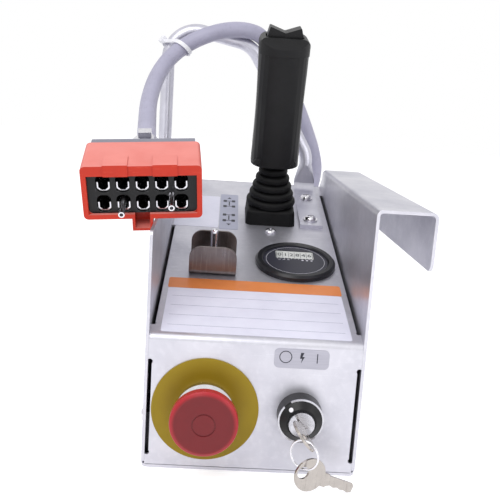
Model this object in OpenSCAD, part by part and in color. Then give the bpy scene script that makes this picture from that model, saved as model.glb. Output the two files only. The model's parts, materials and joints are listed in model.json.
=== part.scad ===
// Platform control box for a scissor lift.
// A folded sheet-metal housing with a sloped panel carries a joystick, a guarded toggle
// switch, an hour meter, an emergency stop and a key switch. A hook on the right side
// plate hangs the box on a guard rail, and a bent bar protects the joystick.
// X runs to the right, Y from the front face to the rear and Z up. The origin is the
// middle of the underside of the base plate. Lengths are millimetres, angles degrees.

/* [Housing] */
// Clear width between the side plates
inner_w = 134; // [128:1:150]
// Depth from the front face to the rear face
depth = 276; // [272:1:300]
// Thickness of the sheet metal
sheet_t = 2; // [1.5:0.1:2.2]
// Height of the corner where the front meets the sloped panel
front_h = 89; // [87:1:96]
// Slope of the top panel
panel_slope = 14; // [12:0.5:15]
// Outer radius of the sheet bends
bend_r = 5; // [4:0.5:6]
// Height of the side plates
side_h = 175; // [172:1:190]
// Height of the left side plate at its front corner
left_front_h = 154; // [140:1:155]
// Width of the hook on the right side plate
hook_w = 36; // [30:1:50]
// Drop of the hook's lip
hook_drop = 37; // [25:1:50]
// Length of the hook along the side plate
hook_l = 262; // [200:1:264]

/* [Emergency stop] */
// Distance of the button's centre to the left of the middle
stop_x = 30; // [28:0.5:32]
// Height of the button's centre
stop_z = 41.5; // [40:0.5:44]
// Radius of the backing disc
stop_disc_r = 34; // [30:0.5:34]
// Radius of the mushroom head
stop_cap_r = 21; // [17:0.5:22]
// Travel of the button
stop_travel = 5; // [3:0.5:5.5]

/* [Key switch] */
// Distance of the lock to the right of the middle
lock_x = 30; // [29:0.5:32]
// Height of the lock
lock_z = 41.5; // [40:0.5:43]
// Radius of the bezel at its foot
lock_bezel_r = 14.4; // [13.8:0.1:15]
// Radius of the lock cylinder
lock_r = 8; // [7.4:0.1:8.4]
// Turn of the key to the left of upright, in degrees
key_turn = 40; // [30:1:45]
// Radius of a key's round head
bow_r = 10.4; // [10:0.1:11]
// Thickness of a key
key_t = 1.6; // [1.4:0.1:1.8]
// Mean radius of the key ring
ring_r = 9; // [8.8:0.1:9.6]

/* [Toggle switch] */
// Distance of the toggle to the left of the middle
toggle_x = 31; // [29:0.5:33]
// Distance of the toggle from the front edge, along the panel
toggle_u = 97; // [90:1:100]
// Width of the guard
guard_w = 34; // [30:1:38]
// Length of the guard along the panel
guard_l = 30; // [28:1:36]
// Height of the guard
guard_h = 23; // [22:0.5:28]

/* [Hour meter] */
// Distance of the meter to the right of the middle
meter_x = 31; // [30:0.5:32]
// Distance from the joystick forward to the meter, along the panel
meter_to_stick = 90; // [86:1:96]
// Radius of the bezel
meter_r = 30.3; // [28.5:0.1:31]
// Radius of the case below the panel
meter_case_r = 26; // [24:0.5:26.5]

/* [Joystick] */
// Distance of the joystick to the right of the middle
stick_x = 14.5; // [12:0.5:15]
// Distance of the joystick from the front edge, along the panel
stick_u = 200; // [196:1:202]
// Length of the boot's square foot
boot_w = 42; // [40:0.5:44]
// Height of the boot
boot_h = 46; // [42:0.5:47]
// Number of ribs on the boot
ribs = 5; // [4:1:6]
// Width of the grip
grip_w = 39.5; // [36:0.5:41]
// Depth of the grip from front to rear
grip_d = 42; // [38:0.5:43]
// Height of the grip's lower end above the panel
grip_z0 = 50.5; // [48:0.5:52]
// Height of the joint between the grip and its cap
grip_z1 = 140; // [130:1:142]
// Height of the cap's top
grip_z2 = 153; // [150:0.5:155]
// Largest tilt of the joystick to either side of upright
stick_tilt = 18; // [12:1:18]

/* [Guard hoop] */
// Radius of the round bar
hoop_r = 6; // [5:0.1:6.5]
// Inside-line radius of its bends
hoop_bend_r = 26; // [20:1:30]
// Distance of its right leg from the middle
hoop_right_x = 49.5; // [48:0.5:52]
// Distance of its left leg from the outside of the left plate
hoop_left_gap = 15; // [14:0.5:20]
// Height of its highest corner
hoop_top_z = 300; // [292:1:315]

/* [Cable and plug] */
// Radius of the cable
cable_r = 7; // [6:0.1:7.5]
// Width of the plug's housing
plug_w = 74; // [70:0.5:76]
// Height of the plug's housing
plug_h = 36; // [34:0.5:38]
// Depth of the plug's housing
plug_d = 39; // [36:0.5:42]

/* [Hidden] */
$fn = 48;
hull_fn = 32; // facets round a blended piece

// Clearances
over = 1;        // overrun of a cut
clear = 0.3;     // radial clearance of a screw or body in its hole
run_fit = 0.05;  // radial running fit of a turning or sliding piece
gap = 0.4;       // gap beside a moving piece
seam = 0.3;      // open seam between the folded front and the base plate

// Housing
meter_u = stick_u - meter_to_stick;
outer_w = inner_w + 2 * sheet_t;
turn = 90 - panel_slope;
bend_tan = bend_r * tan(turn / 2);
panel_l = (depth - sheet_t) / cos(panel_slope) - sheet_t * tan(panel_slope);
rear_h = front_h + (depth - sheet_t) * tan(panel_slope);
hook_r = 4;
plate_corner_r = 4;
lip_corner_r = 6;
slot_w = 2.4;
slot_end_r = 1.7;
front_slot_z0 = 10.5;
front_slot_z1 = 71.5;
panel_slot_u0 = 14;
left_slot_u1 = 168;
right_slot_u1 = 257;
bracket_l = 18;
bracket_h = 33;
bracket_w = 14;
bracket_inset = 6;
m5_r = 2.5;
m5_head_r = 4.6;
m5_head_h = 3;
m3_r = 1.5;
m3_head_r = 3;
m3_head_h = 1.5;
side_screw_z = 29.5;
base_screw_in = 7;

// Emergency stop
stop_disc_t = 1;
stop_bush_r = 11;
stop_bush_l = 20;
stop_stem_r = 7;
stop_spigot_r = 4;
stop_spigot_l = 5;
stop_collar_r = 18.5;
stop_collar_top_r = 15.5;
stop_collar_h = 8;
stop_nut_t = 5;
stop_nut_r = 15;
stop_cap_t = 9.4;
stop_edge_r = 2.2;
stop_groove_r = 6.5;
stop_groove_w = 0.9;
stop_groove_d = 0.5;
stop_block_w = 32;
stop_block_h = 42;
stop_block_l = 34;
block_corner_r = 3;
stop_cap_z0 = stop_disc_t + stop_collar_h + stop_travel + gap;

// Key switch
lock_bezel_h = 10.4;
lock_dome_h = 14.6;
lock_dome_r = 9.4;
lock_bush_r = 10.6;
lock_bush_l = 16;
lock_proud = 2.2;
lock_rim_w = 1;
lock_rim_t = 0.9;
lock_pointer_w = 5;
lock_depth = 14;
lock_block_w = 24;
lock_block_l = 22;
key_slot_gap = 0.1;
blade_w = 7;
blade_l = 33.5;
tooth_d = 1.4;
neck_w = 8.6;
neck_l = 13.5;
bow_hole_r = 3.8;
bow_hole_off = 5.4;
bow_z = 31.6;
key_hang = 0.4;
ring_wire_r = 0.62;
ring_yaw = -33;
spare_yaw = 22;
spare_drop = 25;
spare_hang = 2.2;

// Legend plate above the lock
legend_x = 28.8;
legend_z = 78.2;
legend_w = 34.5;
legend_h = 12.6;
legend_t = 0.5;
legend_r = 3;

// Toggle switch
guard_t = 1.5;
guard_bend_r = 4.5;
guard_corner_r = 8.5;
toggle_bush_r = 5.9;
toggle_bush_h = 7;
toggle_ball_r = 3.9;
toggle_nut_r = 8;
toggle_nut_t = 2.4;
toggle_body_w = 26;
toggle_body_l = 18;
toggle_body_h = 26;
toggle_pivot_z = 2.4;
toggle_pin_r = 0.8;
toggle_pin_l = 5;
toggle_lever_r = 2.1;
toggle_tip_r = 2.8;
toggle_lever_h = 31;
toggle_mouth_r = 4.6;
toggle_swing = 12;

// Hour meter
meter_h = 4.5;
meter_chamfer = 1.6;
meter_inner_r = 24.6;
meter_case_l = 30;
meter_face_z = 2;
meter_face_t = 1;
meter_win_w = 29;
meter_win_l = 13;
meter_win_u = 9.5;
meter_clamp_r = 29.5;
meter_clamp_t = 3;

// Joystick
stick_base_w = 42;
stick_base_l = 78;
stick_flange_t = 3;
stick_box_w = 34;
stick_pivot_z = -15;
stick_hub_r = 9;
stick_hub_l = 20;
stick_box_z0 = -32;
shaft_r = 4.5;
shaft_top = 12;
panel_hole_r = 17;
panel_screw_off = 33;
boot_wall = 2;
boot_foot_h = 12.5;
boot_foot_top_w = 40;
boot_r0 = 22;
boot_r1 = 11.2;
rib_depth = 3;
boot_corner_r = 5;
grip_corner_r = 16;
cap_extra = 0.6;
cap_corner_r = 6;
cap_bevel_h = 7;
cap_bevel_l = 9;
grip_waist = 1.2;
rocker_w = 29;
rocker_d = 16;
rocker_rise = 7.5;
rocker_dip = 3.2;
rocker_pin_r = 1.5;
rocker_skirt = 8;
rocker_swing = 6;
trigger_w = 14;
trigger_z0 = 92;
trigger_z1 = 126;
trigger_out = 9;
trigger_depth = 5;
trigger_pin_r = 2;
grip_screw_x = 14.5;
grip_screw_up = 4.5;
grip_screw_r = 2.3;
grip_screw_proud = 0.4;

// Guard hoop
foot_w = 19;
foot_t = 3;
foot_u0 = 179;
foot_u1 = 259;
foot_bend_r = 8;
foot_rise = 3;
foot_blend_l = 14;
foot_screw_u = [191, 241];
left_foot_z0 = 104;
left_foot_z1 = 150;
left_foot_screw_z = [114, 140];
left_blend_top = 176;
hoop_high_slope = 11.5;
hoop_low_slope = 59;
hoop_shoulder_x = -8;
washer_r = 6;
washer_t = 1;

// Cable, gland and plug
gland_x = 50;
gland_z = 112;
gland_thread_r = 9;
gland_flange_r = 13.5;
gland_flange_t = 6;
gland_l = 24;
gland_nut_t = 4;
gland_tip_r = 8.5;
cable_sides = 12;
cable_steps = 4;
plug_place = [-75.5, -114, 157];
plug_pitch = 18.6;
plug_roll = -4.3;
plug_yaw = 5.1;
plug_wall = 3.2;
plug_corner_r = 3;
plug_tab_w = 15;
plug_tab_t = 2;
plug_tab_l = 15;
plug_tab_drop = 3.4;
plug_tab_x = [-15.8, 14.5];
plug_key_w = 13;
plug_key_x = -0.7;
plug_key_h = 8.5;
plug_key_l = 14;
plug_key_wall = 1.8;
insert_in = 2.5;
insert_back = 3;
cavity_pitch_x = 12;
cavity_pitch_z = 13.6;
cavity_w = 8.8;
cavity_h = 12.2;
cavity_r = 3.4;
cavity_z = 16.5;
contact_w = 7.8;
contact_h = 6;
contact_t = 0.8;
contact_chamfer = 1.8;
contact_in = 2;
contact_lift = 0.5;
pin_r = 1.9;
pin_bore_r = 1.1;
pin_bore_l = 9;
pin_out = 21;
pin_xz = [[-12, 12.6], [18, 16.5]];
hood_w = 68;
hood_l = 22;
hood_flat_l = 9;
hood_h = 31.4;
hood_neck_w = 34;
hood_neck_r = 10;
hood_neck_l = 10;
clamp_t = 1.2;
clamp_w = 8;
clamp_lug_w = 9;
clamp_lug_h = 4;
tie_w = 3.4;
tie_t = 1.2;
tie_r = 9.2;
tie_head = 6;
tie_turn = 22; // place of the tie along the hoop's first bend, in degrees
tie_at = 12;   // and at this point of the cable's route

// Board inside the housing
board_w = 96;
board_l = 124;
board_t = 1.6;
board_y = 38;
standoff_h = 10;
standoff_r = 3.2;
board_edge = 6;
relay_w = 15;
relay_l = 19;
relay_h = 15;
relay_count = 4;
strip_w = 8;
strip_h = 10;

// Outline helpers
function unit(v) = v / norm(v);
function corner_arc(a, b, c, r, n) = r == 0 ? [b] :
    let (u = unit(a - b), v = unit(c - b), half = acos(u * v) / 2,
         p = b + u * r / tan(half), q = b + v * r / tan(half),
         o = b + unit(u + v) * r / sin(half), w = 180 - 2 * half)
    [for (i = [0:n]) o + ((p - o) * sin(w * (n - i) / n) + (q - o) * sin(w * i / n)) / sin(w)];
function rounded(pts, r, n = 6) = [for (i = [0:len(pts) - 1])
    each corner_arc(pts[(i + len(pts) - 1) % len(pts)], pts[i], pts[(i + 1) % len(pts)],
                    is_list(r) ? r[i] : r, n)];
function box_pts(w, l) = [[-w / 2, -l / 2], [w / 2, -l / 2], [w / 2, l / 2], [-w / 2, l / 2]];

// A side profile, drawn in Y and Z, extruded to the right from x0
module across(x0, w) translate([x0, 0, 0]) rotate([90, 0, 90]) linear_extrude(w) children();
// A front profile, drawn in X and Z, extruded to the rear from y0
module rearward(y0, l) translate([0, y0 + l, 0]) rotate([90, 0, 0]) linear_extrude(l) children();
// Frames on the sloped panel and on the front face; local Z points outwards
module on_panel(x, u, h = 0) translate([0, -depth / 2, front_h]) rotate([panel_slope, 0, 0])
    translate([x, u, h]) children();
module on_front(x, z) translate([x, -depth / 2, z]) rotate([90, 0, 0]) children();
// A quarter or other part of a ring in the plane, from angle a0 to a1
module arc_2d(r, t, a0, a1) intersection() {
    difference() { circle(r); circle(r - t); }
    polygon([[0, 0], for (k = [0:4]) 2 * r * [cos(a0 + (a1 - a0) * k / 4), sin(a0 + (a1 - a0) * k / 4)]]);
}
// A slot with a round relief at each end, from y = a to y = b
module slot_2d(a, b) {
    translate([-slot_w / 2, a]) square([slot_w, b - a]);
    for (y = [a, b]) translate([0, y]) circle(slot_end_r);
}
// A pan head screw with a cross recess, head up, shank down
module pan_screw(r, head_r, head_h, l) difference() {
    union() {
        rotate_extrude() polygon(concat([[0, 0], [head_r, 0]],
            [for (k = [0:6]) [head_r * cos(90 * k / 6) * (1 - rim_share) + head_r * rim_share * (1 - k / 6),
                              head_h * rim_share + head_h * (1 - rim_share) * sin(90 * k / 6)]]));
        translate([0, 0, -l]) cylinder(h = l + over * rim_share, r = r);
    }
    for (a = [0, 90]) rotate(a) translate([-head_r * recess_share, -head_r * recess_w_share / 2,
        head_h / 2])
        cube([2 * head_r * recess_share, head_r * recess_w_share, head_h]);
}
rim_share = 0.2;
recess_share = 0.55;
recess_w_share = 0.28;
module hex(r, h) cylinder(h = h, r = r, $fn = 6);

// Housing
base_y = depth / 2 - bracket_inset - bracket_l / 2;
module base_plate() color([0.72, 0.72, 0.77]) difference() {
    linear_extrude(sheet_t) polygon(rounded(box_pts(outer_w, depth), plate_corner_r));
    for (s = [-1, 1], t = [-1, 1]) translate([s * (inner_w / 2 - base_screw_in), t * base_y, 0]) {
        translate([0, 0, -over]) cylinder(h = sheet_t + 2 * over, r = m3_r + clear);
        cylinder(h = m3_head_h, r1 = m3_head_r + clear, r2 = m3_r + clear);
    }
}
module panel_profile() {
    translate([-depth / 2, sheet_t + seam]) square([sheet_t, front_h - sheet_t - seam - bend_tan]);
    translate([-depth / 2 + bend_r, front_h - bend_tan]) arc_2d(bend_r, sheet_t, 90 + panel_slope, 180);
    translate([-depth / 2, front_h]) rotate(panel_slope)
        translate([bend_tan, -sheet_t]) square([panel_l - bend_tan, sheet_t]);
}
module control_panel() color([0.74, 0.74, 0.79]) difference() {
    across(-inner_w / 2, inner_w) panel_profile();
    on_front(-stop_x, stop_z) hole(stop_bush_r + clear);
    on_front(lock_x, lock_z) hole(lock_bush_r + clear);
    for (s = [-1, 1]) on_front(s * (inner_w - slot_w) / 2, 0) translate([0, 0, -sheet_t - over])
        linear_extrude(sheet_t + 2 * over) slot_2d(front_slot_z0, front_slot_z1);
    on_panel(-(inner_w - slot_w) / 2, 0) panel_slot(left_slot_u1);
    on_panel((inner_w - slot_w) / 2, 0) panel_slot(right_slot_u1);
    on_panel(-toggle_x, toggle_u) hole(toggle_bush_r + clear);
    on_panel(meter_x, meter_u) hole(meter_case_r + clear);
    on_panel(stick_x, stick_u) hole(panel_hole_r);
    for (s = [-1, 1]) on_panel(stick_x, stick_u + s * panel_screw_off) hole(m5_r + clear);
    for (u = foot_screw_u) on_panel(hoop_right_x, u) hole(m5_r + clear);
}
module hole(r) translate([0, 0, -sheet_t - over]) cylinder(h = sheet_t + 2 * over, r = r);
module panel_slot(u1) translate([0, 0, -sheet_t - over])
    linear_extrude(sheet_t + 2 * over) slot_2d(panel_slot_u0, u1);

hook_y1 = -depth / 2 + hook_l;
left_top_z = left_front_h + (side_h - left_front_h) * hook_l / depth;
module side_holes(x) for (t = [-1, 1]) translate([x, t * base_y, side_screw_z])
    rotate([0, 90, 0]) translate([0, 0, -over]) cylinder(h = sheet_t + 2 * over, r = m5_r + clear);
module left_side_plate() color([0.72, 0.72, 0.77]) difference() {
    across(-outer_w / 2, sheet_t) polygon(rounded([[-depth / 2, sheet_t], [depth / 2, sheet_t],
        [depth / 2, rear_h], [hook_y1, side_h], [-depth / 2, left_front_h]],
        [plate_corner_r, 0, plate_corner_r, plate_corner_r, plate_corner_r]));
    side_holes(-outer_w / 2);
    for (z = left_foot_screw_z) translate([-outer_w / 2 - over, hoop_y, z]) rotate([0, 90, 0])
        cylinder(h = sheet_t + 2 * over, r = m5_r + clear);
}
hook_x = outer_w / 2 + hook_w;
module hook_profile() {
    translate([inner_w / 2, side_h - 2 * hook_r]) square([sheet_t, hook_r]);
    translate([inner_w / 2 + hook_r, side_h - hook_r]) arc_2d(hook_r, sheet_t, 90, 180);
    translate([inner_w / 2 + hook_r, side_h - sheet_t]) square([hook_x - inner_w / 2 - 2 * hook_r,
        sheet_t]);
    translate([hook_x - hook_r, side_h - hook_r]) arc_2d(hook_r, sheet_t, 0, 90);
    translate([hook_x - sheet_t, side_h - 2 * hook_r]) square([sheet_t, hook_r]);
}
module right_side_plate() color([0.72, 0.72, 0.77]) difference() {
    union() {
        across(inner_w / 2, sheet_t) polygon(rounded([[-depth / 2, sheet_t], [depth / 2, sheet_t],
            [depth / 2, rear_h], [hook_y1, side_h - 2 * hook_r], [-depth / 2, side_h - 2 * hook_r]],
            [plate_corner_r, 0, plate_corner_r, 0, 0]));
        rearward(-depth / 2, hook_l) hook_profile();
        across(hook_x - sheet_t, sheet_t) polygon(rounded([[-depth / 2, side_h - hook_drop],
            [hook_y1, side_h - hook_drop], [hook_y1, side_h - 2 * hook_r], [-depth / 2,
                side_h - 2 * hook_r]],
            [lip_corner_r, lip_corner_r, 0, 0]));
    }
    side_holes(inner_w / 2);
}
module rear_plate() color([0.7, 0.7, 0.75]) difference() {
    rearward(depth / 2 - sheet_t, sheet_t) polygon([[-inner_w / 2, sheet_t], [inner_w / 2, sheet_t],
        [inner_w / 2, rear_h], [-inner_w / 2, rear_h]]);
    translate([gland_x, depth / 2 + over, gland_z]) rotate([90, 0, 0])
        cylinder(h = sheet_t + 2 * over, r = gland_thread_r + clear);
}
module corner_brackets() color([0.6, 0.6, 0.64]) for (s = [-1, 1], t = [-1, 1]) difference() {
    translate([s * inner_w / 2, t * base_y, sheet_t]) union() {
        mirror([s > 0 ? 1 : 0, 0, 0]) translate([0, -bracket_l / 2, 0]) {
            cube([sheet_t, bracket_l, bracket_h]);
            cube([bracket_w, bracket_l, sheet_t]);
        }
    }
    translate([s * (inner_w / 2 - sheet_t / 2), t * base_y, side_screw_z]) rotate([0, 90, 0])
        cylinder(h = sheet_t + 2 * over, r = m5_r + clear, center = true);
    translate([s * (inner_w / 2 - base_screw_in), t * base_y, sheet_t - over])
        cylinder(h = sheet_t + 2 * over, r = m3_r + clear);
}
module side_screws() color([0.8, 0.8, 0.83]) for (s = [-1, 1], t = [-1, 1])
    translate([s * outer_w / 2, t * base_y, side_screw_z]) rotate([0, s * 90, 0])
        pan_screw(m5_r, m5_head_r, m5_head_h, 4 * sheet_t);
module base_screws() color([0.8, 0.8, 0.83]) for (s = [-1, 1], t = [-1, 1])
    translate([s * (inner_w / 2 - base_screw_in), t * base_y, 0]) {
        cylinder(h = m3_head_h, r1 = m3_head_r, r2 = m3_r);
        cylinder(h = 3 * sheet_t, r = m3_r);
    }

// Emergency stop on the front face
module stop_disc() color([0.85, 0.7, 0.05]) on_front(-stop_x, stop_z) difference() {
    cylinder(h = stop_disc_t, r = stop_disc_r, $fn = 96);
    translate([0, 0, -over]) cylinder(h = stop_disc_t + 2 * over, r = stop_bush_r + clear);
}
module stop_collar() color([0.82, 0.82, 0.84]) on_front(-stop_x, stop_z) rotate_extrude()
    polygon([[stop_stem_r + run_fit, -stop_bush_l], [stop_bush_r, -stop_bush_l],
        [stop_bush_r, stop_disc_t], [stop_collar_r, stop_disc_t],
        [stop_collar_r, stop_disc_t + stop_collar_h / 2],
        [stop_collar_top_r, stop_disc_t + stop_collar_h],
        [stop_stem_r + run_fit, stop_disc_t + stop_collar_h]]);
module stop_nut() color([0.75, 0.75, 0.78]) on_front(-stop_x, stop_z)
    translate([0, 0, -sheet_t - stop_nut_t]) difference() {
        hex(stop_nut_r, stop_nut_t);
        translate([0, 0, -over]) cylinder(h = stop_nut_t + 2 * over, r = stop_bush_r + run_fit);
    }
module stop_contact_block() color([0.15, 0.15, 0.16]) on_front(-stop_x, stop_z)
    translate([0, 0, -stop_bush_l - stop_block_l]) {
        linear_extrude(stop_block_l) polygon(rounded(box_pts(stop_block_w, stop_block_h), block_corner_r));
        for (s = [-1, 1], t = [-1, 1]) translate([s * stop_block_w / 4, t * stop_block_h / 4, -stop_disc_t])
            cylinder(h = stop_disc_t + over, r = stop_spigot_r);
    }
module stop_stem() color([0.45, 0.08, 0.1]) on_front(-stop_x, stop_z) {
    translate([0, 0, -stop_bush_l + stop_travel + gap])
        cylinder(h = stop_cap_z0 + stop_bush_l - stop_travel - gap, r = stop_stem_r);
    translate([0, 0, stop_cap_z0 - over]) cylinder(h = stop_spigot_l + over, r = stop_spigot_r);
}
stop_cap_z1 = stop_cap_z0 + stop_cap_t;
module stop_cap() color([0.75, 0.08, 0.12]) on_front(-stop_x, stop_z) rotate_extrude($fn = 96)
    polygon(concat(rounded([[stop_spigot_r + run_fit, stop_cap_z0], [stop_cap_r * cap_under_share,
        stop_cap_z0],
            [stop_cap_r, stop_cap_z0 + stop_cap_t * cap_edge_share], [stop_cap_r,
                stop_cap_z1 - stop_edge_r / 2],
            [stop_cap_r - stop_edge_r, stop_cap_z1]], [0, stop_edge_r / 2, stop_edge_r / 2,
                stop_edge_r / 2, 0]),
        [[stop_groove_r + stop_groove_w, stop_cap_z1], [stop_groove_r + stop_groove_w,
            stop_cap_z1 - stop_groove_d],
         [stop_groove_r, stop_cap_z1 - stop_groove_d], [stop_groove_r, stop_cap_z1], [0, stop_cap_z1],
         [0, stop_cap_z0 + stop_spigot_l + gap], [stop_spigot_r + run_fit,
             stop_cap_z0 + stop_spigot_l + gap]]));
cap_under_share = 0.86;
cap_edge_share = 0.3;

// Key switch on the front face
module legend_plate() color([0.6, 0.6, 0.64]) on_front(legend_x, legend_z)
    linear_extrude(legend_t) polygon(rounded(box_pts(legend_w, legend_h), legend_r));
module key_bezel() color([0.08, 0.08, 0.09]) on_front(lock_x, lock_z) difference() {
    rotate_extrude() polygon([[lock_r + run_fit, -lock_bush_l], [lock_bush_r, -lock_bush_l],
        [lock_bush_r, 0],
        [lock_bezel_r, 0], [lock_bezel_r, lock_bezel_h + lock_rim_t], [lock_rim_r,
            lock_bezel_h + lock_rim_t],
        [lock_dome_r, lock_dome_h], [lock_r + run_fit, lock_dome_h]]);
    // seat of the bright ring, which leaves the pointer standing
    translate([0, 0, lock_bezel_h]) difference() {
        cylinder(h = lock_rim_t + over, r = lock_bezel_r + over);
        translate([0, 0, -over]) cylinder(h = lock_rim_t + 3 * over, r = lock_rim_r - run_fit);
        rotate(key_turn) translate([-lock_pointer_w / 2 + run_fit, 0, -over])
            cube([lock_pointer_w - 2 * run_fit, lock_bezel_r + 2 * over, lock_rim_t + 3 * over]);
    }
}
lock_rim_r = lock_bezel_r - lock_rim_w;
module key_rim() color([0.85, 0.85, 0.88]) on_front(lock_x, lock_z) translate([0, 0, lock_bezel_h])
    difference() {
    cylinder(h = lock_rim_t, r = lock_bezel_r);
    translate([0, 0, -over]) cylinder(h = lock_rim_t + 2 * over, r = lock_rim_r);
    rotate(key_turn) translate([-lock_pointer_w / 2, 0, -over])
        cube([lock_pointer_w, lock_bezel_r + over, lock_rim_t + 2 * over]);
}
module key_contact_block() color([0.15, 0.15, 0.16]) on_front(lock_x, lock_z)
    translate([0, 0, -lock_bush_l - lock_block_l]) linear_extrude(lock_block_l)
        polygon(rounded(box_pts(lock_block_w, lock_block_w), block_corner_r));
module lock_cylinder() color([0.78, 0.78, 0.8]) on_front(lock_x, lock_z) rotate(key_turn) difference() {
    translate([0, 0, -lock_depth]) cylinder(h = lock_depth + lock_dome_h + lock_proud, r = lock_r);
    translate([-key_t / 2 - key_slot_gap, -blade_w / 2 - key_slot_gap, bow_z - blade_l - gap])
        cube([key_t + 2 * key_slot_gap, blade_w + 2 * key_slot_gap,
            lock_dome_h + lock_proud - bow_z + blade_l + gap + over]);
}
// A flat key in the plane: round head at the origin, blade towards +X, hole on the far side
tooth_share = [0.14, 0.3, 0.44, 0.58, 0.72, 0.86];
tooth_cut_share = [0.9, 0.4, 1, 0.55, 0.8, 0.3];
module key_2d() difference() {
    union() {
        circle(bow_r, $fn = 64);
        translate([0, -neck_w / 2]) square([neck_l, neck_w]);
        polygon(rounded(concat([[0, blade_w / 2], [0, -blade_w / 2], [neck_l, -blade_w / 2]],
            [for (k = [0:len(tooth_share) - 1]) [neck_l + (blade_l - neck_l) * tooth_share[k],
                -blade_w / 2 + tooth_d * tooth_cut_share[k]]],
            [[blade_l, -blade_w / 2 + tooth_d], [blade_l, blade_w / 2 - tooth_d],
             [blade_l - tooth_d, blade_w / 2]]), 0));
    }
    translate([-bow_hole_off, 0]) circle(bow_hole_r);
}
module key() color([0.82, 0.8, 0.74]) on_front(lock_x, lock_z) rotate(key_turn)
    translate([-key_t / 2, 0, bow_z]) rotate([0, 90, 0]) linear_extrude(key_t) key_2d();
bow_hole = [lock_x, -depth / 2 - bow_z - bow_hole_off, lock_z];
ring_at = bow_hole + [key_hang * sin(key_turn), 0, -key_hang * cos(key_turn) - ring_r];
spare_at = ring_at - [0, 0, ring_r + spare_hang];
module key_ring() color([0.8, 0.8, 0.83]) translate(ring_at) rotate([90, 0, ring_yaw])
    rotate_extrude() translate([ring_r, 0]) circle(ring_wire_r, $fn = 24);
module spare_key() color([0.82, 0.8, 0.74]) translate(spare_at) rotate([90, 0, spare_yaw])
    rotate(-spare_drop) translate([bow_hole_off, 0, -key_t / 2]) linear_extrude(key_t) key_2d();

// Toggle switch and its guard on the panel
module toggle_guard() color([0.62, 0.6, 0.6]) on_panel(-toggle_x, toggle_u) difference() {
    intersection() {
        across(-guard_w / 2, guard_w) difference() {
            polygon(rounded([[-guard_l / 2, 0], [guard_l / 2, 0], [guard_l / 2, guard_h],
                [-guard_l / 2, guard_h]],
                [guard_bend_r, guard_bend_r, 0, 0]));
            translate([0, guard_t]) polygon(rounded([[-guard_l / 2 + guard_t, 0],
                [guard_l / 2 - guard_t, 0],
                [guard_l / 2 - guard_t, guard_h], [-guard_l / 2 + guard_t, guard_h]],
                [guard_bend_r - guard_t, guard_bend_r - guard_t, 0, 0]));
        }
        rearward(-guard_l / 2, guard_l) polygon(rounded([[-guard_w / 2, 0], [guard_w / 2, 0],
            [guard_w / 2, guard_h], [-guard_w / 2, guard_h]], [0, 0, guard_corner_r, guard_corner_r]));
    }
    translate([0, 0, -over]) cylinder(h = guard_t + 2 * over, r = toggle_bush_r + clear);
}
module toggle_bushing() color([0.8, 0.8, 0.83]) on_panel(-toggle_x, toggle_u) difference() {
    translate([0, 0, -sheet_t]) cylinder(h = sheet_t + toggle_bush_h, r = toggle_bush_r);
    translate([0, 0, toggle_pivot_z]) sphere(toggle_ball_r + run_fit);
    translate([0, 0, toggle_pivot_z])
        cylinder(h = toggle_bush_h, r1 = toggle_ball_r * mouth_share, r2 = toggle_mouth_r);
    translate([0, 0, toggle_pivot_z]) rotate([90, 0, 0])
        cylinder(h = 2 * toggle_pin_l + gap, r = toggle_pin_r + run_fit, center = true);
}
mouth_share = 0.8;
module toggle_nut() color([0.75, 0.75, 0.78]) on_panel(-toggle_x, toggle_u, guard_t) difference() {
    hex(toggle_nut_r, toggle_nut_t);
    translate([0, 0, -over]) cylinder(h = toggle_nut_t + 2 * over, r = toggle_bush_r + run_fit);
}
module toggle_body() color([0.15, 0.15, 0.16]) on_panel(-toggle_x, toggle_u, -sheet_t - toggle_body_h)
    linear_extrude(toggle_body_h) polygon(rounded(box_pts(toggle_body_w, toggle_body_l), guard_t));
module toggle_lever() color([0.85, 0.85, 0.88]) on_panel(-toggle_x, toggle_u, toggle_pivot_z) {
    sphere(toggle_ball_r);
    rotate([90, 0, 0]) cylinder(h = 2 * toggle_pin_l, r = toggle_pin_r, center = true);
    cylinder(h = toggle_lever_h - toggle_pivot_z - toggle_tip_r, r1 = toggle_lever_r, r2 = toggle_tip_r);
    translate([0, 0, toggle_lever_h - toggle_pivot_z - toggle_tip_r]) sphere(toggle_tip_r);
}

// Hour meter
module meter_bezel() color([0.16, 0.17, 0.2]) on_panel(meter_x, meter_u) rotate_extrude($fn = 96)
    polygon([[meter_inner_r, 0], [meter_r, 0], [meter_r, meter_h - meter_chamfer],
        [meter_r - meter_chamfer, meter_h], [meter_inner_r + meter_face_t, meter_h],
        [meter_inner_r, meter_h - meter_face_t]]);
module meter_window_2d() translate([0, meter_win_u]) polygon(rounded(box_pts(meter_win_w, meter_win_l),
    over));
module meter_face() color([0.12, 0.13, 0.15]) on_panel(meter_x, meter_u, meter_face_z) difference() {
    cylinder(h = meter_face_t, r = meter_inner_r - run_fit);
    translate([0, 0, -over]) linear_extrude(meter_face_t + 2 * over) meter_window_2d();
}
module meter_window() color([0.75, 0.78, 0.75]) on_panel(meter_x, meter_u, meter_face_z)
    linear_extrude(meter_face_t * window_share) meter_window_2d();
window_share = 0.6;
module meter_case() color([0.12, 0.13, 0.15]) on_panel(meter_x, meter_u) {
    translate([0, 0, -meter_case_l]) cylinder(h = meter_case_l, r = meter_case_r);
    cylinder(h = meter_face_z, r = meter_inner_r - run_fit);
    for (s = [-1, 1]) translate([s * meter_case_r / 2 - strip_w / 2, -board_t / 2, -meter_case_l - strip_w])
        cube([strip_w, board_t, strip_w + over]);
}
module meter_clamp() color([0.3, 0.3, 0.33]) on_panel(meter_x, meter_u, -sheet_t - meter_clamp_t)
    difference() {
    cylinder(h = meter_clamp_t, r = meter_clamp_r);
    translate([0, 0, -over]) cylinder(h = meter_clamp_t + 2 * over, r = meter_case_r + run_fit);
}

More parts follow.
